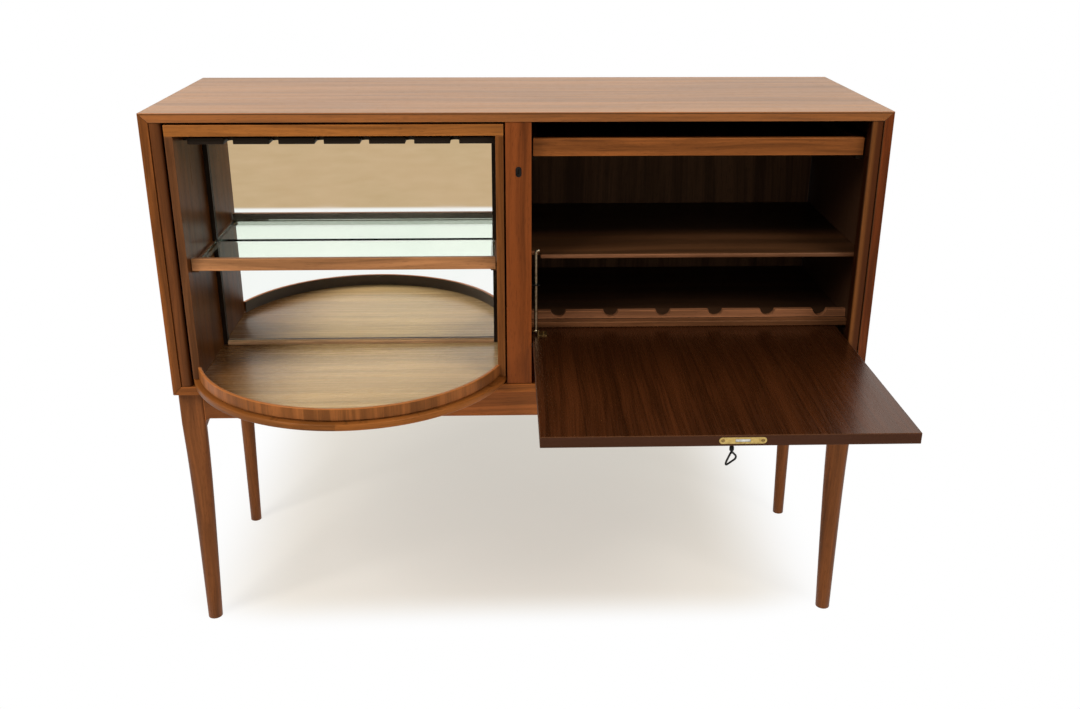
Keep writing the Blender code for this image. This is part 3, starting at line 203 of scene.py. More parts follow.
def start_of(name):
    """Where on the log a board's grain starts, so that no two boards match."""
    return sum(ord(letter) for letter in name) % 89 * 0.31


rub_wide = 0.0018


def teak(
    board, along, mid, polish=0.40, veins=0.35, rub=0.5, face=None, gloss=0.14, relief=0.22, dark_end=None
):
    """Oiled teak for one board, with its grain along an axis and its arrises rubbed lighter.
    A lipped or lined board gets one face, as (axis, way, colour), in a colour of its own (on the jambs,
    painted shade), and a board can be darkened towards one end, as (axis, start, full, colour): painted
    shade on some boards, a dark lining on others."""
    finish, tree, surface, place = blank_finish(board + "_teak")
    colour, fine, pores = teak_layer(tree, place, along, mid, veins=veins, start=start_of(board))
    if face:
        axis, way, face_shade = face
        layer, _, _ = teak_layer(tree, place, along, face_shade, veins=veins, start=start_of(board) + 0.5)
        on_face = band(tree, facing(tree, axis), way * 0.3, way * 0.9)
        colour = mixed(tree, on_face, colour, layer)
    if dark_end:
        axis, start, full, end_shade = dark_end
        reach = put(tree, "SeparateXYZ", {0: place}).outputs[axis]
        colour = mixed(tree, band(tree, reach, start, full), colour, end_shade)
    low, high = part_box(board)
    worn = rubbed_edges(tree, place, low, high, wide=rub_wide)
    worn = times(tree, worn, band(tree, fine, 0.3, 0.6, 0.35 * rub, rub))
    rubbed = max(mid, face[2] if face else mid)
    colour = mixed(tree, worn, colour, tinted(rubbed, 1.9))
    coat(tree, surface, colour, fine, pores, polish=polish, relief=relief, gloss=gloss)
    return finish


def pick(piece, kind, test):
    """Selects the vertices, edges or faces of the piece in hand that pass a test."""
    bpy.ops.mesh.select_mode(type=kind)
    bpy.ops.mesh.select_all(action="DESELECT")
    mesh = bmesh.from_edit_mesh(piece.data)
    for part in {"VERT": mesh.verts, "EDGE": mesh.edges, "FACE": mesh.faces}[kind]:
        if test(part):
            part.select_set(True)
    mesh.select_flush_mode()
    bmesh.update_edit_mesh(piece.data)


def in_hand(name):
    """Names the primitive just added, puts its place in its mesh and opens it for shaping."""
    piece = bpy.context.object
    piece.name = name
    piece.data.name = name
    bpy.ops.object.transform_apply(location=True, rotation=True, scale=True)
    bpy.ops.object.mode_set(mode="EDIT")
    return piece


def put_down(piece, angle=35):
    """Closes the piece, merges its seams, turns its faces outwards and smooths it."""
    bpy.ops.mesh.select_all(action="SELECT")
    bpy.ops.mesh.remove_doubles(threshold=1e-6)
    bpy.ops.mesh.normals_make_consistent(inside=False)
    bpy.ops.object.mode_set(mode="OBJECT")
    bpy.ops.object.shade_smooth_by_angle(angle=math.radians(angle))
    bpy.ops.object.select_all(action="DESELECT")


def placed(piece, body, nodes, slot, *finishes):
    """Gives a new piece its finishes and its body, and hides the CAD nodes it stands for; its slot is not
    used.
    """
    for finish in finishes:
        piece.data.materials.append(finish)
    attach(piece, body)
    if nodes:
        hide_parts(*nodes)


def eased_copy(node, name, chosen, ease, steps, flat=1.0):
    """A copy of a CAD piece, welded into one skin, with the chosen edges rounded over.
    Faces that lie within flat degrees of one plane are joined first."""
    piece = bpy.data.objects.new(name, frame["nodes"][node].data.copy())
    piece.data.materials.clear()
    bpy.context.scene.collection.objects.link(piece)
    bpy.ops.object.select_all(action="DESELECT")
    bpy.context.view_layer.objects.active = piece
    piece.select_set(True)
    bpy.ops.mesh.customdata_custom_splitnormals_clear()
    bpy.ops.object.mode_set(mode="EDIT")
    bpy.ops.mesh.select_all(action="SELECT")
    bpy.ops.mesh.remove_doubles(threshold=1e-5)
    bpy.ops.mesh.dissolve_limited(angle_limit=math.radians(flat))
    pick(piece, "EDGE", chosen)
    bpy.ops.mesh.bevel(offset=ease, segments=steps, affect="EDGES", clamp_overlap=True)
    put_down(piece, angle=40)
    return piece


leg_shade = (0.176, 0.057, 0.016)
foot_ease = 0.0012
for leg_name in ("leg_front_left", "leg_front_right", "leg_back_left", "leg_back_right"):
    foot_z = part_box(leg_name)[0].z
    leg = eased_copy(
        leg_name,
        leg_name + "_shaved",
        lambda edge: all(vert.co.z < foot_z + 1e-5 for vert in edge.verts),
        ease=foot_ease,
        steps=2,
        flat=0.02,
    )
    leg_finish = teak(leg_name, "Z", leg_shade, polish=0.42, veins=0.45, rub=0.0)
    placed(leg, "carcass", [leg_name], "teak", leg_finish)


# APRONS
# Four teak rails between the legs, with a small hollow curve where each runs down into a leg.
# Sawn from the solid with the grain along their length, glued and dowelled to the leg heads.
def dress(node, finish):
    """Gives a CAD piece, kept as it is, a worked-up finish."""
    frame["nodes"][node].material_slots[0].material = finish


def dress_teak(node, along, mid, **looks):
    """Gives a CAD piece, kept as it is, oiled teak of its own with its grain along an axis."""
    dress(node, teak(node, along, mid, **looks))


apron_shade = (0.280, 0.088, 0.0235)
# Painted light and shade: the front apron is lightened by 1.28 as painted light, and darkened towards its
# left end as painted shade.
apron_painted_shade_end = ("X", -0.25, -0.75, tinted(apron_shade, 0.3))
for apron, along, tone_and_painted_light, end in (
    ("apron_front", "X", 1.28, apron_painted_shade_end),
    ("apron_back", "X", 1.0, None),
    ("apron_left", "Y", 0.9, None),
    ("apron_right", "Y", 0.9, None),
):
    dress_teak(apron, along, tinted(apron_shade, tone_and_painted_light), polish=0.42, veins=0.45, dark_end=end)


# CARCASS
# Top, sides and bottom are veneered boards with solid lippings, mitred at the corners.
# The grain runs along the top and bottom and up the sides, and the back is let in from behind.
carcass_shade = (0.200, 0.061, 0.013)
# Painted light: the bottom panel is lightened to 1.35 times the carcass tone, for the light along its
# front edge.
dress_teak("bottom_panel", "X", tinted(carcass_shade, 1.35), polish=0.40, veins=0.3)
side_shade = tinted(carcass_shade, 0.86)
dress_teak("left_side", "Z", side_shade, polish=0.38, veins=0.4)
lining_shade = (0.038, 0.0165, 0.0080)
lining_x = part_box("right_side")[0].x
lining = ("X", lining_x + 0.0015, lining_x + 0.0005, lining_shade)
# Painted shade: the right side's front edge is painted darker than the left side's.
lipped = ("Y", -1, (0.127, 0.0265, 0.0046))
dress_teak("right_side", "Z", side_shade, polish=0.38, veins=0.4, rub=0.28, face=lipped, dark_end=lining)

top_shade = (0.400, 0.185, 0.064)
front_shade = (0.215, 0.070, 0.0155)
low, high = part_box("top_panel")
top_finish, tree, surface, place = blank_finish("top_panel_teak")
start = start_of("top_panel")
colour, fine, pores = teak_layer(tree, place, "X", top_shade, veins=0.22, start=start, contrast=0.6)
front_layer, _, _ = teak_layer(tree, place, "X", front_shade, veins=0.3, start=1.3)
apart = put(tree, "SeparateXYZ", {0: place})
lipping = band(tree, apart.outputs["Y"], low.y + 0.0012, low.y + 0.0008)
colour = mixed(tree, lipping, colour, front_layer)
veneer_thick = 0.0022
below = {0: high.z - veneer_thick, 1: apart.outputs["Z"]}
below = put(tree, "Math", below, operation="SUBTRACT").outputs[0]
glue_line = band(tree, put(tree, "Math", {0: below}, operation="ABSOLUTE").outputs[0], 0.0011, 0.0005)
colour = mixed(tree, times(tree, glue_line, lipping), colour, tinted(front_shade, 0.28))
worn = rubbed_edges(tree, place, low, high, wide=0.0016)
worn = times(tree, worn, band(tree, fine, 0.3, 0.6, 0.15, 0.5))
colour = mixed(tree, worn, colour, tinted(front_shade, 1.7))
coat(tree, surface, colour, fine, pores, polish=0.38, relief=0.18, gloss=0.42)
dress("top_panel", top_finish)

back_shade = (0.122, 0.058, 0.027)
dress_teak("back_panel", "Z", back_shade, polish=0.55, veins=0.4)


# JAMBS AND STILE
# Two round-fronted teak jambs stand inside the carcass sides, and a stile between the two doors.
# They are moulded in the solid with upright grain and glued into the carcass.
stile_shade = (0.152, 0.037, 0.0072)
jamb_shade = {"left_jamb": (0.142, 0.0440, 0.0117), "right_jamb": (0.150, 0.050, 0.0115)}
jamb_round = {"left_jamb": 0.0088, "right_jamb": 0.0042}
jamb_arris = 0.0025
sweep_cut = 0.0052
sweep_way = (0.956, 0.292, 0)
for jamb in ("left_jamb", "right_jamb"):
    low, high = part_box(jamb)
    bpy.ops.mesh.primitive_cube_add(size=1, location=(low + high) / 2, scale=high - low)
    jamb_piece = in_hand(jamb + "_moulded")
    inner_x, outer_x = (high.x, low.x) if jamb == "left_jamb" else (low.x, high.x)
    for edge_x, ease in ((inner_x, jamb_round[jamb]), (outer_x, jamb_arris)):
        pick(jamb_piece, "EDGE", lambda edge: edge.calc_length() > 0.3 and all(
            vert.co.y < low.y + 1e-5 and abs(vert.co.x - edge_x) < 1e-5 for vert in edge.verts))
        bpy.ops.mesh.bevel(offset=ease, segments=8, affect="EDGES")
    if jamb == "left_jamb":
        bpy.ops.mesh.select_all(action="SELECT")
        cut_place = (high.x - sweep_cut, high.y, 0)
        bpy.ops.mesh.bisect(plane_co=cut_place, plane_no=sweep_way, use_fill=True, clear_outer=True)
    put_down(jamb_piece, angle=50)
    # Painted shade: the left jamb's side facing the bar and the right jamb's side facing the compartment
    # are painted dark, shading their rounded fronts, and the right jamb is painted darker towards its
    # right edge.
    if jamb == "left_jamb":
        jamb_painted_shade_face, veins = ("X", 1, tinted(stile_shade, 0.3)), 0.9
        jamb_painted_shade_side = None
    else:
        jamb_painted_shade_face, veins = ("X", -1, tinted(stile_shade, 0.1)), 0.6
        jamb_painted_shade_side = ("X", low.x + 0.004, low.x + 0.012, tinted(stile_shade, 0.40))
    jamb_finish = teak(
        jamb, "Z", jamb_shade[jamb], polish=0.40, veins=veins, rub=0.0, face=jamb_painted_shade_face, dark_end=jamb_painted_shade_side
    )
    placed(jamb_piece, "carcass", [jamb], "teak", jamb_finish)
stile_finish = teak("stile", "Z", stile_shade, polish=0.42, veins=0.3, rub=0.35)
dress("stile", stile_finish)


# STILE LOCK
# A small black plate with a keyhole is let into the stile, with a brass bolt behind it.
# The plate is stamped and blacked, the bolt is sawn from brass bar.
def metal(name, bright, dull, polish, brushed="X", relief=0.12):
    """Metal with tarnish in patches, fine rubbing marks along an axis and uneven polish."""
    finish, tree, surface, place = blank_finish(name)
    lie = put(tree, "Mapping", {"Vector": place, "Rotation": laid(brushed)}).outputs[0]
    marks = grain(tree, lie, along=120.0, across=4200.0)
    sockets = {"Vector": place, "Scale": 190.0, "Detail": 3.0, "Roughness": 0.6}
    spots = put(tree, "TexNoise", sockets).outputs["Fac"]
    tarnish = weighed(tree, spots, 0.7, weighed(tree, marks, 0.3, 0.0))
    colour = colours(tree, tarnish, [(0.36, dull), (0.52, bright), (0.68, tinted(bright, 1.15))])
    rough = weighed(tree, spots, -0.25, weighed(tree, marks, 0.16, polish + 0.05))
    bump = put(tree, "Bump", {"Strength": relief, "Distance": 0.0002, "Height": marks})
    surface.inputs["Metallic"].default_value = 1.0
    tree.links.new(colour, surface.inputs["Base Color"])
    tree.links.new(rough, surface.inputs["Roughness"])
    tree.links.new(bump.outputs[0], surface.inputs["Normal"])
    return finish


black_iron = metal("blacked_iron", bright=(0.022, 0.021, 0.020), dull=(0.008, 0.008, 0.008), polish=0.46)
brass = metal("worn_brass", bright=(0.60, 0.43, 0.15), dull=(0.46, 0.31, 0.10), polish=0.34)
bright_steel = metal("rubbed_steel", bright=(0.56, 0.55, 0.52), dull=(0.30, 0.29, 0.27), polish=0.34)
dress("keyhole_plate", black_iron)
# Painted shade: inside the keyhole plate's outline the stile's wood is painted black, for the depth of
# the keyhole.
low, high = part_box("keyhole_plate")
tree = stile_finish.node_tree
wood = tree.nodes["Principled BSDF"].inputs["Base Color"]
place = put(tree, "TexCoord", {}).outputs["Object"]
across = (2 / (high.x - low.x), 0.0, 2 / (high.z - low.z))
off = vector(tree, "MULTIPLY", vector(tree, "SUBTRACT", place, (low + high) / 2), across)
reach = put(tree, "VectorMath", {0: off}, operation="LENGTH").outputs["Value"]
keyhole_painted_shade = band(tree, reach, 1.02, 0.96)
keyhole_painted_shade_colour = (0.002, 0.002, 0.002)
tree.links.new(mixed(tree, keyhole_painted_shade, wood.links[0].from_socket, keyhole_painted_shade_colour), wood)
dress("bar_lock_bolt", brass)


# BAR BASE PLATE
# A round-fronted board that carries the revolving bar and turns on a pin under it.
# Pale veneer on top with the grain from side to side, and a bent teak lipping round the edge.
low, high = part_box("bar_base_plate")
lipping_wide = 0.0128
plate_arris = 0.0028
plate_weld = 0.0035
plate_radius = (high.x - low.x) / 2
bar_middle = Vector(((low.x + high.x) / 2, low.y + plate_radius, high.z))
bpy.ops.mesh.primitive_cylinder_add(
    vertices=240,
    radius=plate_radius,
    depth=high.z - low.z,
    location=(bar_middle.x, bar_middle.y, (low.z + high.z) / 2),
)
plate = in_hand("bar_base_plate_lipped")
pick(plate, "FACE", lambda face: face.normal.z > 0.99)
bpy.ops.mesh.inset(thickness=lipping_wide)
bpy.ops.mesh.select_all(action="SELECT")
bpy.ops.mesh.bisect(plane_co=(0, high.y, 0), plane_no=(0, 1, 0), use_fill=True, clear_outer=True)
bpy.ops.mesh.select_all(action="SELECT")
bpy.ops.mesh.remove_doubles(threshold=plate_weld)
pick(plate, "EDGE", lambda edge: abs(edge.verts[0].co.z - edge.verts[1].co.z) < 1e-4 and any(
    abs(face.normal.z) < 0.5 for face in edge.link_faces))
bpy.ops.mesh.bevel(offset=plate_arris, segments=4, affect="EDGES")
pick(plate, "FACE", lambda face: face.normal.z < 0.99 or face.calc_area() < 0.01)
lipping_faces = {face.index for face in bmesh.from_edit_mesh(plate.data).faces if face.select}
put_down(plate, angle=40)


def round_the_bar(tree, place):
    """How far round the bar's axis a place lies along the plate's edge, and how high."""
    apart = put(tree, "SeparateXYZ", {0: vector(tree, "SUBTRACT", place, bar_middle)})
    sockets = {0: apart.outputs["X"], 1: apart.outputs["Y"]}
    turned = put(tree, "Math", sockets, operation="ARCTAN2").outputs[0]
    return times(tree, turned, plate_radius), apart.outputs["Z"]


plate_shade = (0.505, 0.335, 0.156)
plate_painted_shade_colour = (0.120, 0.044, 0.010)
plate_top, tree, surface, place = blank_finish("bar_plate_veneer")
start = start_of("bar_base_plate")
colour, fine, pores = teak_layer(tree, place, "X", plate_shade, veins=0.18, start=start, contrast=0.5)
plate_painted_shade_layer, _, _ = teak_layer(tree, place, "X", plate_painted_shade_colour, veins=0.3, start=start, contrast=0.5)
across = put(tree, "SeparateXYZ", {0: place}).outputs["X"]
left_end = bar_middle.x - plate_radius
# Painted shade and reflection: the veneer is painted dark brown towards its left end, where the left
# upright shades it and the dark wall shows in it, and a little browner towards its right end.
plate_painted_shade_amount = band(tree, across, left_end + 0.05, left_end + 0.25, 0.94, 0.0)
plate_painted_shade_amount = weighed(tree, band(tree, across, bar_middle.x + 0.06, bar_middle.x + 0.26), 0.22, plate_painted_shade_amount)
colour = mixed(tree, plate_painted_shade_amount, colour, plate_painted_shade_layer)
coat(tree, surface, colour, fine, pores, polish=0.26, relief=0.08, gloss=0.25)

lip_shade = (0.232, 0.075, 0.0145)
plate_lip, tree, surface, place = blank_finish("bar_plate_lipping")
length, height = round_the_bar(tree, place)
along_lip = put(tree, "CombineXYZ", {0: length, 1: height, 2: 0.0}).outputs[0]
colour, fine, pores = teak_layer(tree, along_lip, "X", lip_shade, veins=0.3, start=4.1)
coat(tree, surface, colour, fine, pores, polish=0.38, relief=0.2)
placed(plate, "bar", ["bar_base_plate"], "bar_floor", plate_top, plate_lip)
for face in plate.data.polygons:
    face.material_index = 1 if face.index in lipping_faces else 0


# GALLERY RIM
# A low fence round the front of the bar's floor, bent from thin wood and set in from the edge.
# Veneered across the grain outside, so its stripes stand upright, with a rounded top arris.
low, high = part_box("gallery_rim")
rim_thick = 0.006
rim_nick = 0.0034
rim_set_in = 0.0085
rim_arris = 0.0014
rim_start = math.radians(-18)
rim_sweep = math.radians(144)
rim_mid = plate_radius - rim_set_in - rim_thick / 2
bpy.ops.mesh.primitive_plane_add(
    size=1,
    location=(
        bar_middle.x + rim_mid * math.cos(rim_start),
        bar_middle.y + rim_mid * math.sin(rim_start),
        (low.z + rim_nick + high.z) / 2,
    ),
    rotation=(math.pi / 2, 0, rim_start),
)
bpy.context.object.scale = (rim_thick, high.z - low.z - rim_nick, 1)
rim = in_hand("gallery_rim_bent")
pick(rim, "EDGE", lambda edge: all(vert.co.z < low.z + 2 * rim_nick for vert in edge.verts))
bpy.ops.mesh.subdivide(number_cuts=1)
pick(rim, "EDGE", lambda edge: all(vert.co.z < low.z + 2 * rim_nick for vert in edge.verts) and all(
    math.hypot(vert.co.x - bar_middle.x, vert.co.y - bar_middle.y) < rim_mid + 1e-4
    for vert in edge.verts))
bpy.ops.mesh.extrude_region_move(TRANSFORM_OT_translate={"value": (0, 0, -rim_nick)})
pick(rim, "VERT", lambda vert: vert.co.z > high.z - 1e-4)
bpy.ops.mesh.bevel(offset=rim_arris, segments=3, affect="VERTICES")
bpy.ops.mesh.select_all(action="SELECT")
bpy.ops.mesh.spin(steps=144, angle=rim_sweep, center=bar_middle, axis=(0, 0, 1))
bpy.ops.mesh.select_all(action="SELECT")
bpy.ops.mesh.bisect(plane_co=(0, high.y, 0), plane_no=(0, 1, 0), use_fill=True, clear_outer=True)
put_down(rim)

rim_shade = (0.250, 0.084, 0.021)
rim_inside = (0.098, 0.082, 0.068)
rim_finish, tree, surface, place = blank_finish("gallery_rim_cross_veneer")
length, height = round_the_bar(tree, place)
up_rim = put(tree, "CombineXYZ", {0: height, 1: length, 2: 0.0}).outputs[0]
colour, fine, pores = teak_layer(tree, up_rim, "X", rim_shade, veins=0.6, start=7.7)
flat_out = vector(tree, "MULTIPLY", vector(tree, "SUBTRACT", place, bar_middle), (1, 1, 0))
reach = put(tree, "VectorMath", {0: flat_out}, operation="LENGTH").outputs["Value"]
inner_face = band(tree, reach, rim_mid, rim_mid - 0.0016)
colour = mixed(tree, inner_face, colour, rim_inside)
rim_top = high.z - bar_middle.z
arris = band(tree, height, rim_top - 0.0016, rim_top - 0.0004, 0.0, 0.75)
colour = mixed(tree, arris, colour, tinted(rim_shade, 1.8))
coat(tree, surface, colour, fine, pores, polish=0.36, relief=0.2)
placed(rim, "bar", ["gallery_rim"], "teak", rim_finish)


# BAR BODY
# Two uprights, a top with a front rail, and the door that closes the opening when the bar turns.
# Solid teak edges with upright grain, joined to the base plate; a steel pivot above and below.
upright_shade = (0.090, 0.030, 0.0078)
rail_shade = (0.245, 0.084, 0.017)
bar_top_shade = (0.060, 0.028, 0.013)
smooth = {"polish": 0.32, "gloss": 0.05, "relief": 0.02}
for upright, front in (
    ("bar_left_side", (0.128, 0.0490, 0.0185)),
    ("bar_right_side", (0.146, 0.0490, 0.0125)),
):
    lipped = ("Y", -1, front)
    dress_teak(upright, "Z", upright_shade, veins=0.4, rub=0.5, face=lipped, **smooth)
dress_teak("bar_top_rail", "X", rail_shade, polish=0.40, veins=0.25)
dress_teak("bar_top", "X", bar_top_shade, polish=0.45, veins=0.3)
dress_teak("bar_door", "Z", carcass_shade, polish=0.38, veins=0.45)
dress("bar_pivot_lower", bright_steel)
dress("bar_pivot_upper", bright_steel)


# MIRROR
# A sheet of silvered glass on the inner face of the door, between two near-black strips.
# A pale bead holds its foot; the silvering has gone faintly brown along the edges.
low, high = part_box("mirror")
silver_clear = (0.90, 0.93, 0.90)
silver_smeared = (0.93, 0.94, 0.92)
silver_brown = (0.35, 0.27, 0.18)
mirror_finish, tree, surface, place = blank_finish("old_mirror")
smear = put(tree, "TexNoise", {"Vector": place, "Scale": 7.0, "Detail": 3.0}).outputs["Fac"]
specks = put(tree, "TexNoise", {"Vector": place, "Scale": 420.0, "Detail": 1.0}).outputs["Fac"]
edge = rubbed_edges(tree, place, low, high, wide=0.006)
edge = times(tree, edge, band(tree, specks, 0.35, 0.6))
silver = mixed(tree, band(tree, smear, 0.3, 0.7), silver_clear, silver_smeared)
tree.links.new(mixed(tree, edge, silver, silver_brown), surface.inputs["Base Color"])
tree.links.new(band(tree, smear, 0.42, 0.75, 0.012, 0.035), surface.inputs["Roughness"])
surface.inputs["Metallic"].default_value = 1.0
dress("mirror", mirror_finish)

dark_strip = (0.016, 0.010, 0.007)
for strip in ("mirror_strip_left", "mirror_strip_right"):
    dress_teak(strip, "Z", dark_strip, polish=0.42, veins=0.3, rub=0.2)
back_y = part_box("mirror_bead")[1].y
bead_top = ("Z", 1, (0.330, 0.190, 0.090))
# Painted shade: the bead's back, where it meets the mirror, is painted near black.
bead_painted_shade = ("Y", back_y - 0.0034, back_y - 0.0014, (0.020, 0.014, 0.009))
bead_shade = (0.500, 0.290, 0.150)
dress_teak(
    "mirror_bead", "X", bead_shade, polish=0.40, veins=0.25, rub=0.0, face=bead_top, dark_end=bead_painted_shade
)


# GLASS SHELF
# A plate of green-edged glass lying in two rebated teak cleats, behind a teak lip.
# The glass has ground ends, and the cleats are fixed to the uprights.
glass_clear = (0.76, 0.83, 0.71)
glass_smeared = (0.745, 0.815, 0.695)
glass_end = (0.16, 0.24, 0.20)
glass_finish, tree, surface, place = blank_finish("shelf_glass")
smear = put(tree, "TexNoise", {"Vector": place, "Scale": 9.0, "Detail": 4.0}).outputs["Fac"]
end_on = put(tree, "Math", {0: facing(tree, "X")}, operation="ABSOLUTE").outputs[0]
ground_end = band(tree, end_on, 0.6, 0.9)
rough = weighed(tree, ground_end, 0.6, band(tree, smear, 0.45, 0.75, 0.0, 0.05))
tree.links.new(rough, surface.inputs["Roughness"])
clear = mixed(tree, band(tree, smear, 0.3, 0.7), glass_clear, glass_smeared)
clear = mixed(tree, ground_end, clear, glass_end)
tree.links.new(clear, surface.inputs["Base Color"])
surface.inputs["Transmission Weight"].default_value = 1.0
surface.inputs["IOR"].default_value = 1.5
green = put(tree, "VolumeAbsorption", {"Color": (0.30, 0.72, 0.55, 1.0), "Density": 5.0})
tree.links.new(green.outputs[0], tree.nodes["Material Output"].inputs["Volume"])
dress("glass_shelf", glass_finish)
shelf_lip_shade = (0.345, 0.152, 0.060)
cleat_shade = (0.130, 0.060, 0.028)
grey_back = ("Y", 1, (0.220, 0.196, 0.170))
dress_teak("shelf_lip", "X", shelf_lip_shade, polish=0.38, veins=0.3, rub=0.4, face=grey_back)
for cleat in ("shelf_cleat_left", "shelf_cleat_right"):
    dress_teak(cleat, "Y", cleat_shade, polish=0.42, veins=0.3)


# GLASS RACK
# A dark comb under the bar's top with slots for the stems of glasses, hung from a spacer.
# Sawn from one board, its edges eased by hand, and near black.
rack_ease = 0.0011
rack = eased_copy(
    "glass_rack",
    "glass_rack_eased",
    lambda edge: len(edge.link_faces) == 2 and edge.calc_face_angle() > 0.7,
    ease=rack_ease,
    steps=2,
)
rack_finish = teak("glass_rack", "X", dark_strip, polish=0.40, veins=0.3, rub=0.5)
placed(rack, "bar", ["glass_rack"], "rack_wood", rack_finish)
dress_teak("rack_spacer", "X", dark_strip, polish=0.45, veins=0.3, rub=0.2)


# RIGHT COMPARTMENT
# Partition, floor, shelf and the notched rest for bottle necks behind the drop flap.
# All veneered in a darker, plainer teak and fixed between the partition and the side.
inside_shade = (0.044, 0.020, 0.0095)
dress_teak("partition", "Z", inside_shade, polish=0.45, veins=0.4, rub=0.2)
dress_teak("inner_floor", "X", inside_shade, polish=0.45, veins=0.4, rub=0.2)
lipped = ("Y", -1, (0.180, 0.074, 0.033))
shelf_nose = 0.0032
front_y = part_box("right_shelf")[0].y
# Painted shadow: the shelf's back part, which the tray above shades, is painted near black.
shelf_painted_shadow = ("Y", front_y + 0.10, front_y + 0.17, (0.012, 0.006, 0.003))
shelf_shade = (0.060, 0.0245, 0.0095)
shelf_finish = teak(
    "right_shelf", "X", shelf_shade, polish=0.40, veins=0.4, rub=0.0, face=lipped, dark_end=shelf_painted_shadow
)
shelf = eased_copy(
    "right_shelf",
    "right_shelf_nosed",
    lambda edge: edge.calc_length() > 0.3 and all(vert.co.y < front_y + 0.0025 for vert in edge.verts),
    ease=shelf_nose,
    steps=4,
)
placed(shelf, "carcass", ["right_shelf"], "teak_inside", shelf_finish)
floor_rail_shade = (0.130, 0.050, 0.019)
bottle_rest_shade = (0.250, 0.102, 0.045)
dress_teak("floor_rail", "X", floor_rail_shade, polish=0.38, veins=0.3, rub=0.7)
dress_teak("bottle_rest", "X", bottle_rest_shade, polish=0.40, veins=0.3, rub=0.7)


# PULL-OUT TRAY
# A shallow tray above the shelf: a figured teak front, thin walls and base, on two side runners.
# The front is cut from a board with dark streaks.
tray_shade = (0.216, 0.067, 0.0150)
dress_teak("tray_front", "X", tray_shade, polish=0.42, veins=0.75, rub=0.6)
dress_teak("tray_base", "Y", inside_shade, polish=0.5, veins=0.3)
dress_teak("tray_back", "X", inside_shade, polish=0.5, veins=0.3)
for side in ("left", "right"):
    dress_teak("tray_wall_" + side, "Y", inside_shade, polish=0.5, veins=0.3)
    runner = "tray_runner_" + side
    # Painted shade: the runners are painted at a third of the inside tone.
    dress_teak(runner, "Y", tinted(inside_shade, 0.3), polish=0.5, veins=0.3, rub=0.0)


# DROP FLAP
# A door hinged low down that drops level as a serving board, and lies open here.
# Inside it has dark veneer in narrow leaves with upright grain; outside it matches the carcass.
flap_inside = (0.050, 0.0135, 0.0036)
flap_edge = (0.018, 0.0075, 0.0082)
flap_rubbed = (0.105, 0.052, 0.030)
flap_sheen = (1.0, 0.38, 0.08, 1.0)
leaf_wide = 0.047
low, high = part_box("flap_panel")
flap_finish, tree, surface, place = blank_finish("flap_panel_veneer")
colour, fine, pores = teak_layer(tree, place, "Y", flap_inside, veins=0.6, start=start_of("flap_panel"))
apart = put(tree, "SeparateXYZ", {0: place})
leaf = put(tree, "Math", {0: apart.outputs["X"], 1: leaf_wide}, operation="DIVIDE").outputs[0]
sockets = {"W": leaf, "Scale": 1.0, "Randomness": 0.7}
seam = put(tree, "TexVoronoi", sockets, voronoi_dimensions="1D", feature="DISTANCE_TO_EDGE")
seam_line = band(tree, seam.outputs["Distance"], 0.040, 0.008, 0.0, 0.42)
leaves = put(tree, "TexVoronoi", sockets, voronoi_dimensions="1D", feature="F1")
leaf_tone = put(tree, "SeparateXYZ", {0: leaves.outputs["Color"]}).outputs[0]
colour = mixed(tree, band(tree, leaf_tone, 0.0, 1.0, 0.0, 0.22), colour, tinted(flap_inside, 0.5))
colour = mixed(tree, seam_line, colour, tinted(flap_inside, 0.22))
# Painted shade: the veneer is painted darker towards the hinge, where the cabinet shades it.
flap_painted_shade = band(tree, apart.outputs["Y"], low.y + 0.10, high.y - 0.06, 0.0, 0.80)
colour = mixed(tree, flap_painted_shade, colour, tinted(flap_inside, 0.35))
upward = facing(tree, "Z")
edge_layer, _, _ = teak_layer(tree, place, "X", flap_edge, veins=0.3, start=5.2)
outside, _, _ = teak_layer(tree, place, "Y", carcass_shade, veins=0.4, start=2.3)
colour = mixed(tree, band(tree, upward, 0.85, 0.6), colour, edge_layer)
colour = mixed(tree, band(tree, upward, -0.6, -0.85), colour, outside)
worn = rubbed_edges(tree, place, low, high, wide=rub_wide)
worn = times(tree, worn, band(tree, fine, 0.3, 0.6, 0.1, 0.4))
colour = mixed(tree, worn, colour, flap_rubbed)
coat(tree, surface, colour, fine, pores, polish=0.27, relief=0.05, gloss=0.7)
surface.inputs["Specular Tint"].default_value = flap_sheen
polished = surface.inputs["Roughness"].links[0].from_socket
unpolished = band(tree, upward, 0.99, 0.93, 0.0, 0.45)
rough = put(tree, "Math", {0: polished, 1: unpolished}, operation="ADD").outputs[0]
tree.links.new(rough, surface.inputs["Roughness"])
dress("flap_panel", flap_finish)
dress("flap_pin_left", black_iron)
dress("flap_pin_right", black_iron)


# FLAP LOCK
# A brass lock plate with round ends let into the flap's free edge, over a steel case and bolt.
# Two slotted screws hold it, and their heads stand slightly proud of the plate.
dress("flap_lock_plate", brass)
dress("flap_lock_case", bright_steel)
bolt_steel = metal("bolt_steel", bright=(0.72, 0.70, 0.64), dull=(0.45, 0.42, 0.36), polish=0.30)
dress("flap_lock_bolt", bolt_steel)


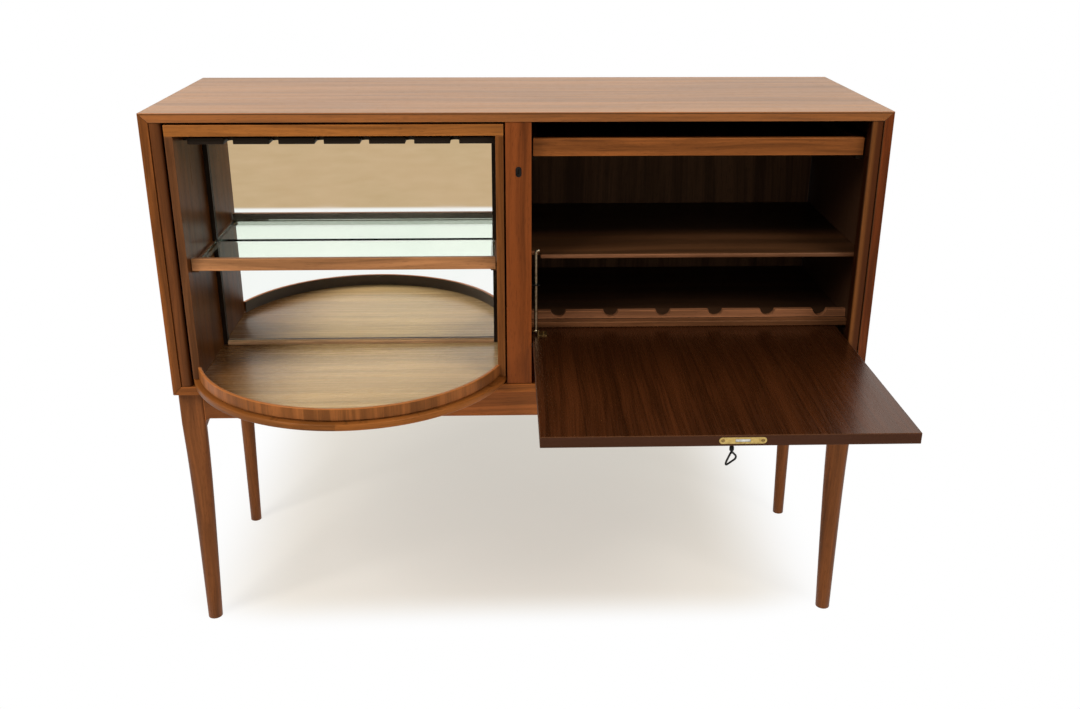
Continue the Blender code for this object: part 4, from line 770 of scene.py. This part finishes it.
def slotted_screw(name, radius, high):
    """A slotted screw head standing up from the origin."""
    slot_half = radius * 0.16
    bpy.ops.mesh.primitive_cylinder_add(vertices=28, radius=radius, depth=high, location=(0, 0, high / 2))
    screw = in_hand(name)
    pick(screw, "EDGE", lambda edge: all(vert.co.z > high / 2 for vert in edge.verts))
    bpy.ops.mesh.bevel(offset=high * 0.4, segments=3, affect="EDGES")
    for side in (-1, 1):
        bpy.ops.mesh.select_all(action="SELECT")
        bpy.ops.mesh.bisect(plane_co=(0, side * slot_half, 0), plane_no=(0, 1, 0))
    pick(screw, "FACE", lambda face: face.normal.z > 0.3 and (
        abs(face.calc_center_median().y) < slot_half))
    bpy.ops.mesh.extrude_region_move(TRANSFORM_OT_translate={"value": (0, 0, -high * 0.45)})
    put_down(screw)
    return screw


def screwed(name, pattern, places, turn, body, finish, slot):
    """Copies of one screw, each turned and put in its place, as one piece."""
    copies = []
    for index, (place, slot_turn) in enumerate(places):
        copy = bpy.data.objects.new(name + str(index), pattern.data.copy())
        copy.data.transform(Matrix.Translation(place) @ turn @ Matrix.Rotation(slot_turn, 4, "Z"))
        bpy.context.scene.collection.objects.link(copy)
        copies.append(copy)
    bpy.ops.object.select_all(action="DESELECT")
    for copy in copies:
        copy.select_set(True)
    bpy.context.view_layer.objects.active = copies[0]
    bpy.ops.object.join()
    copies[0].name = name
    placed(copies[0], body, [], slot, finish)
    bpy.ops.object.select_all(action="DESELECT")


low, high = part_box("flap_lock_plate")
screw_brass = metal("screw_brass", bright=(0.30, 0.20, 0.075), dull=(0.09, 0.055, 0.022), polish=0.42)
screw_in = 0.0056
screw_y = low.y + 0.0003
lock_mid = (low.z + high.z) / 2
lock_screw = slotted_screw("lock_screw", radius=0.0027, high=0.0009)
screwed(
    "flap_lock_screws",
    lock_screw,
    [
        ((low.x + screw_in, screw_y, lock_mid), 0.5),
        ((high.x - screw_in, screw_y, lock_mid), -0.3),
    ],
    Matrix.Rotation(math.pi / 2, 4, "X"),
    "flap",
    screw_brass,
    "brass",
)
bpy.data.objects.remove(lock_screw)


# KEY
# A black iron key left in the flap's lock: round shank, long collar and a three-cornered bow.
# Forged from round bar and filed, and left part turned.
def joined(first, second):
    """Makes two shaped pieces one and finishes it."""
    first.select_set(True)
    second.select_set(True)
    bpy.context.view_layer.objects.active = first
    bpy.ops.object.join()
    bpy.ops.object.mode_set(mode="EDIT")
    put_down(first)


low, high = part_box("key")
key_axis = Vector(((low.x + high.x) / 2, (low.y + high.y) / 2, 0))
bow_turn = math.radians(48)
bow_span = 0.0176
bow_fall = 0.0078
bow_wire = 0.0015
bow_bend = 0.0040
low_half = math.atan2(bow_fall, bow_span / 2) / 2
top_half = math.pi / 2 - 2 * low_half
low_run = bow_bend / math.tan(low_half)
top_run = bow_bend / math.tan(top_half)
bow_base = bow_span + 2 * low_run
bow_rise = bow_fall + bow_bend + bow_bend / math.sin(top_half)
bow_head = low.z + bow_wire + 2 * bow_bend + bow_fall
neck_radius = 0.0016
neck_long = 0.003
neck_clear = 0.001
neck_top = bow_head + neck_clear
collar_radius = 0.0034
collar_long = 0.0090
shank_radius = 0.0024
bpy.ops.mesh.primitive_circle_add(
    vertices=3,
    radius=1,
    fill_type="NGON",
    location=(key_axis.x, key_axis.y, low.z + bow_wire + bow_rise / 3),
    rotation=(math.pi / 2, 0, bow_turn),
)
bpy.context.object.scale = (bow_base / math.sqrt(3), bow_rise / 1.5, 1)
key = in_hand("key_filed")
for corner_low, run in ((True, low_run), (False, top_run)):
    pick(key, "VERT", lambda vert: (vert.co.z < low.z + 2 * bow_wire) == corner_low and (
        corner_low or vert.co.z > bow_head))
    bpy.ops.mesh.bevel(offset=run, segments=8, affect="VERTICES")
bpy.ops.mesh.select_all(action="SELECT")
bpy.ops.mesh.delete(type="ONLY_FACE")
bpy.ops.object.mode_set(mode="OBJECT")
bpy.ops.object.convert(target="CURVE")
key.data.bevel_depth = bow_wire
key.data.bevel_resolution = 4
bpy.ops.object.convert(target="MESH")
bpy.ops.mesh.primitive_cylinder_add(
    vertices=24,
    radius=neck_radius,
    depth=neck_long,
    location=(key_axis.x, key_axis.y, neck_top - neck_long / 2),
)
shank = in_hand("key_shank")
pick(shank, "FACE", lambda face: face.normal.z > 0.9)
for rise, radius_before, radius in (
    (0.0014, neck_radius, collar_radius * 0.8),
    (0.0014, collar_radius * 0.8, collar_radius),
    (0.0040, collar_radius, collar_radius),
    (0.0016, collar_radius, collar_radius * 0.85),
    (0.0006, collar_radius * 0.85, shank_radius),
    (high.z - neck_top - collar_long, shank_radius, shank_radius),
):
    bpy.ops.mesh.extrude_region_move(TRANSFORM_OT_translate={"value": (0, 0, rise)})
    swell = radius / radius_before
    bpy.ops.transform.resize(value=(swell, swell, 1), center_override=(key_axis.x, key_axis.y, 0))
put_down(shank)
joined(key, shank)
placed(key, "key", ["key"], "black_iron", black_iron)


# FLAP STAY
# A thin brass rod pinned to the flap's tail, which slides up through a keeper on the partition.
# Its top is bent over as a stop, its foot is forged into an eye, and screws hold lug and keeper.
low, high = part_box("stay_rod")
rod_radius = 0.0028
eye_radius = 0.0033
eye_wire = 0.0012
eye_swell = 1.7
hook = 0.0045
hook_end = 0.0015
pin_reach = 0.0033
rod_above_eye = 0.004
rod_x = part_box("stay_pin")[0].x + pin_reach
rod_y = (low.y + high.y) / 2
eye_z = low.z + eye_radius + eye_wire
rod_foot = eye_z + rod_above_eye
rod_head = high.z - rod_radius - hook
bpy.ops.mesh.primitive_cylinder_add(
    vertices=20,
    radius=rod_radius,
    depth=rod_head - rod_foot,
    location=(rod_x, rod_y, (rod_head + rod_foot) / 2),
)
stay = in_hand("stay_rod_drawn")
pick(stay, "FACE", lambda face: face.normal.z > 0.9)
bend = (rod_x + hook, rod_y, rod_head)
bpy.ops.mesh.spin(steps=8, angle=-math.pi / 2, center=bend, axis=(0, 1, 0))
bpy.ops.mesh.extrude_region_move(TRANSFORM_OT_translate={"value": (hook_end, 0, 0)})
bpy.ops.object.mode_set(mode="OBJECT")
bpy.ops.mesh.primitive_torus_add(
    location=(rod_x, rod_y, eye_z),
    rotation=(0, math.pi / 2, 0),
    major_segments=32,
    minor_segments=12,
    major_radius=eye_radius,
    minor_radius=eye_wire,
)
eye = in_hand("stay_eye")
bpy.ops.mesh.select_all(action="SELECT")
bpy.ops.transform.resize(value=(eye_swell, 1, 1), center_override=(rod_x, rod_y, eye_z))
bpy.ops.object.mode_set(mode="OBJECT")
joined(stay, eye)
stay_bright, stay_dull = (0.50, 0.42, 0.28), (0.26, 0.20, 0.12)
stay_brass = metal("stay_brass", stay_bright, stay_dull, polish=0.36, brushed="Z")
placed(stay, "stay", ["stay_rod"], "brass", stay_brass)
dress("stay_pin", screw_brass)
dress("stay_lug", screw_brass)
dress("stay_keeper", black_iron)

stay_screw = slotted_screw("stay_screw", radius=0.0022, high=0.0008)
low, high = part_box("stay_lug")
lug_screw_in = 0.0048
lug_screw_x = high.x - 0.006
lug_face = low.z + 0.0016
screwed(
    "stay_lug_screws",
    stay_screw,
    [
        ((lug_screw_x, low.y + lug_screw_in, lug_face), 0.7),
        ((lug_screw_x, high.y - lug_screw_in, lug_face), -0.4),
    ],
    Matrix.Identity(4),
    "flap",
    screw_brass,
    "brass",
)
low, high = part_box("stay_keeper")
keeper_screw_in = 0.0055
keeper_screw_z = high.z - 0.008
keeper_face = low.x + 0.002
screwed(
    "stay_keeper_screws",
    stay_screw,
    [
        ((keeper_face, low.y + keeper_screw_in, keeper_screw_z), 0.2),
        ((keeper_face, high.y - keeper_screw_in, keeper_screw_z), -0.6),
    ],
    Matrix.Rotation(math.pi / 2, 4, "Y"),
    "carcass",
    black_iron,
    "steel",
)
bpy.data.objects.remove(stay_screw)


# BACK PINS
# Round-headed pins that hold the back panel in its rebate, a hand's width apart.
# Driven by hand, so their heads stand slightly proud.
low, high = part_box("back_panel")
pin_in = 0.009
pin_radius = 0.0024
pin_flat = 0.45
spaces_across = 10
spaces_up = 4
bpy.ops.mesh.primitive_uv_sphere_add(segments=14, ring_count=8, radius=pin_radius, location=(0, 0, 0))
pin_head = in_hand("back_pin")
bpy.ops.mesh.select_all(action="SELECT")
bpy.ops.mesh.bisect(plane_co=(0, 0, 0), plane_no=(0, 0, 1), use_fill=True, clear_inner=True)
bpy.ops.mesh.select_all(action="SELECT")
bpy.ops.transform.resize(value=(1, 1, pin_flat), center_override=(0, 0, 0))
put_down(pin_head)
pin_places = []
for step in range(spaces_across + 1):
    x = low.x + pin_in + (high.x - low.x - 2 * pin_in) * step / spaces_across
    pin_places += [((x, high.y, low.z + pin_in), 0.0), ((x, high.y, high.z - pin_in), 0.0)]
for step in range(1, spaces_up):
    z = low.z + pin_in + (high.z - low.z - 2 * pin_in) * step / spaces_up
    pin_places += [((low.x + pin_in, high.y, z), 0.0), ((high.x - pin_in, high.y, z), 0.0)]
screwed(
    "back_panel_pins",
    pin_head,
    pin_places,
    Matrix.Rotation(-math.pi / 2, 4, "X"),
    "carcass",
    bright_steel,
    "steel",
)
bpy.data.objects.remove(pin_head)


# FLOOR AND LIGHT
# A pale studio floor that keeps the cabinet's soft shadow and runs out to white.
# Past the paper's front edge the mirror sees a warm wooden floor. Two soft lamps stand in front.
def looked_at(tree):
    """The light path, and 1 for what the camera, a mirror or glass looks at, 0 for falling light."""
    path = put(tree, "LightPath", {})
    sockets = {0: path.outputs["Is Camera Ray"], 1: path.outputs["Is Glossy Ray"]}
    seen = put(tree, "Math", sockets, operation="MAXIMUM").outputs[0]
    sockets = {0: seen, 1: path.outputs["Is Transmission Ray"]}
    return path, put(tree, "Math", sockets, operation="MAXIMUM").outputs[0]


bpy.ops.mesh.primitive_grid_add(x_subdivisions=24, y_subdivisions=24, size=60, location=(0, 8, 0))
floor = in_hand("studio_floor")
put_down(floor)
floor_finish, tree, surface, place = blank_finish("studio_paper")
path, seen = looked_at(tree)
shaded_middle = (-0.025, 0.49, 0.0)
shaded_half = (0.395, 0.41, 0.0)
paper_front = -2.83
under = vector(tree, "ABSOLUTE", vector(tree, "SUBTRACT", place, shaded_middle))
away = vector(tree, "MULTIPLY", vector(tree, "SUBTRACT", under, shaded_half), (1.0, 2.0, 0.0))
away = vector(tree, "MAXIMUM", away)
distance = put(tree, "VectorMath", {0: away}, operation="LENGTH").outputs["Value"]
open_floor = times(tree, band(tree, distance, 0.0, 0.27, 0.50, 1.0), seen)
apart = put(tree, "SeparateXYZ", {0: place})
beyond = band(tree, apart.outputs["Y"], paper_front, paper_front - 0.06)
in_mirror = times(tree, beyond, path.outputs["Is Glossy Ray"])
scuffs = put(tree, "TexNoise", {"Vector": place, "Scale": 6.0, "Detail": 5.0}).outputs["Fac"]
clean, scuffed = (0.93, 0.905, 0.84), (0.90, 0.865, 0.79)
paper = mixed(tree, band(tree, scuffs, 0.4, 0.8, 0.0, 0.5), clean, scuffed)
far_wood = mixed(tree, scuffs, (0.56, 0.39, 0.215), (0.67, 0.485, 0.30))
# Painted shade: close to the cabinet the floor's glow is warm grey, not white.
glow_with_painted_shade = mixed(tree, band(tree, distance, 0.0, 0.24), (0.93, 0.885, 0.80), (1.0, 1.0, 1.0))
glow = put(tree, "Emission", {"Color": mixed(tree, in_mirror, glow_with_painted_shade, far_wood), "Strength": 1.0})
matt = put(tree, "BsdfDiffuse", {"Color": paper})
sockets = {0: open_floor, 1: matt.outputs[0], 2: glow.outputs[0]}
paper_laid = put(tree, "MixShader", sockets)
tree.links.new(paper_laid.outputs[0], tree.nodes["Material Output"].inputs["Surface"])
tree.nodes.remove(surface)
floor.data.materials.append(floor_finish)

room_light = 0.42
room = bpy.data.worlds.new("pale_room")
bpy.context.scene.world = room
room.use_nodes = True
tree = room.node_tree
path, seen = looked_at(tree)
heading = put(tree, "SeparateXYZ", {0: put(tree, "TexCoord", {}).outputs["Generated"]})
wall = band(tree, heading.outputs["Y"], -0.2, 0.3, 0.3, 1.0)
in_front = band(tree, heading.outputs["Y"], -0.3, -0.6, 0.0, 1.5)
overhead = band(tree, heading.outputs["Z"], 0.12, 0.35)
wall = weighed(tree, in_front, overhead, wall)
strength = put(tree, "Mix", {0: seen, 2: room_light, 3: wall}).outputs[0]
strength = put(tree, "Mix", {0: path.outputs["Is Camera Ray"], 2: strength, 3: 1.0}).outputs[0]
tree.links.new(strength, tree.nodes["Background"].inputs["Strength"])
tree.nodes["Background"].inputs["Color"].default_value = (1.0, 1.0, 1.0, 1.0)

lamp_white = (1.0, 0.97, 0.93)
lamp_aim = Vector((0, 0, 0.5))
for lamp_name, lamp_place, watts, lamp_size in (
    ("soft_lamp_left", (-1.8, -1.4, 2.3), 50.0, 1.2),
    ("soft_lamp_right", (1.7, -1.7, 2.6), 37.0, 1.3),
):
    lamp_data = bpy.data.lights.new(lamp_name, "AREA")
    lamp_data.size = lamp_size
    lamp_data.energy = watts
    lamp_data.color = lamp_white
    lamp = bpy.data.objects.new(lamp_name, lamp_data)
    lamp.location = lamp_place
    lamp.rotation_euler = (lamp_aim - Vector(lamp_place)).to_track_quat("-Z", "Y").to_euler()
    bpy.context.scene.collection.objects.link(lamp)


# CAMERA
# At chest height, about 1.4 m in front of the open flap's edge and looking down on it.
# A normal lens with no shift.
camera_data = bpy.data.cameras.new("photo_camera")
camera_data.sensor_width = 36.0
camera_data.lens = 36.67
camera_data.clip_end = 200.0
camera = bpy.data.objects.new("photo_camera", camera_data)
camera.location = (-0.0239, -1.77785, 1.2379)
yaw = math.radians(1.86)
pitch = math.radians(21.68)
ahead = Vector((math.sin(yaw) * math.cos(pitch), math.cos(yaw) * math.cos(pitch), -math.sin(pitch)))
roll = Matrix.Rotation(math.radians(0.166), 4, "Z")
camera.rotation_euler = (ahead.to_track_quat("-Z", "Y").to_matrix().to_4x4() @ roll).to_euler()
bpy.context.scene.collection.objects.link(camera)
bpy.context.scene.camera = camera
bpy.context.scene.view_settings.view_transform = "Standard"
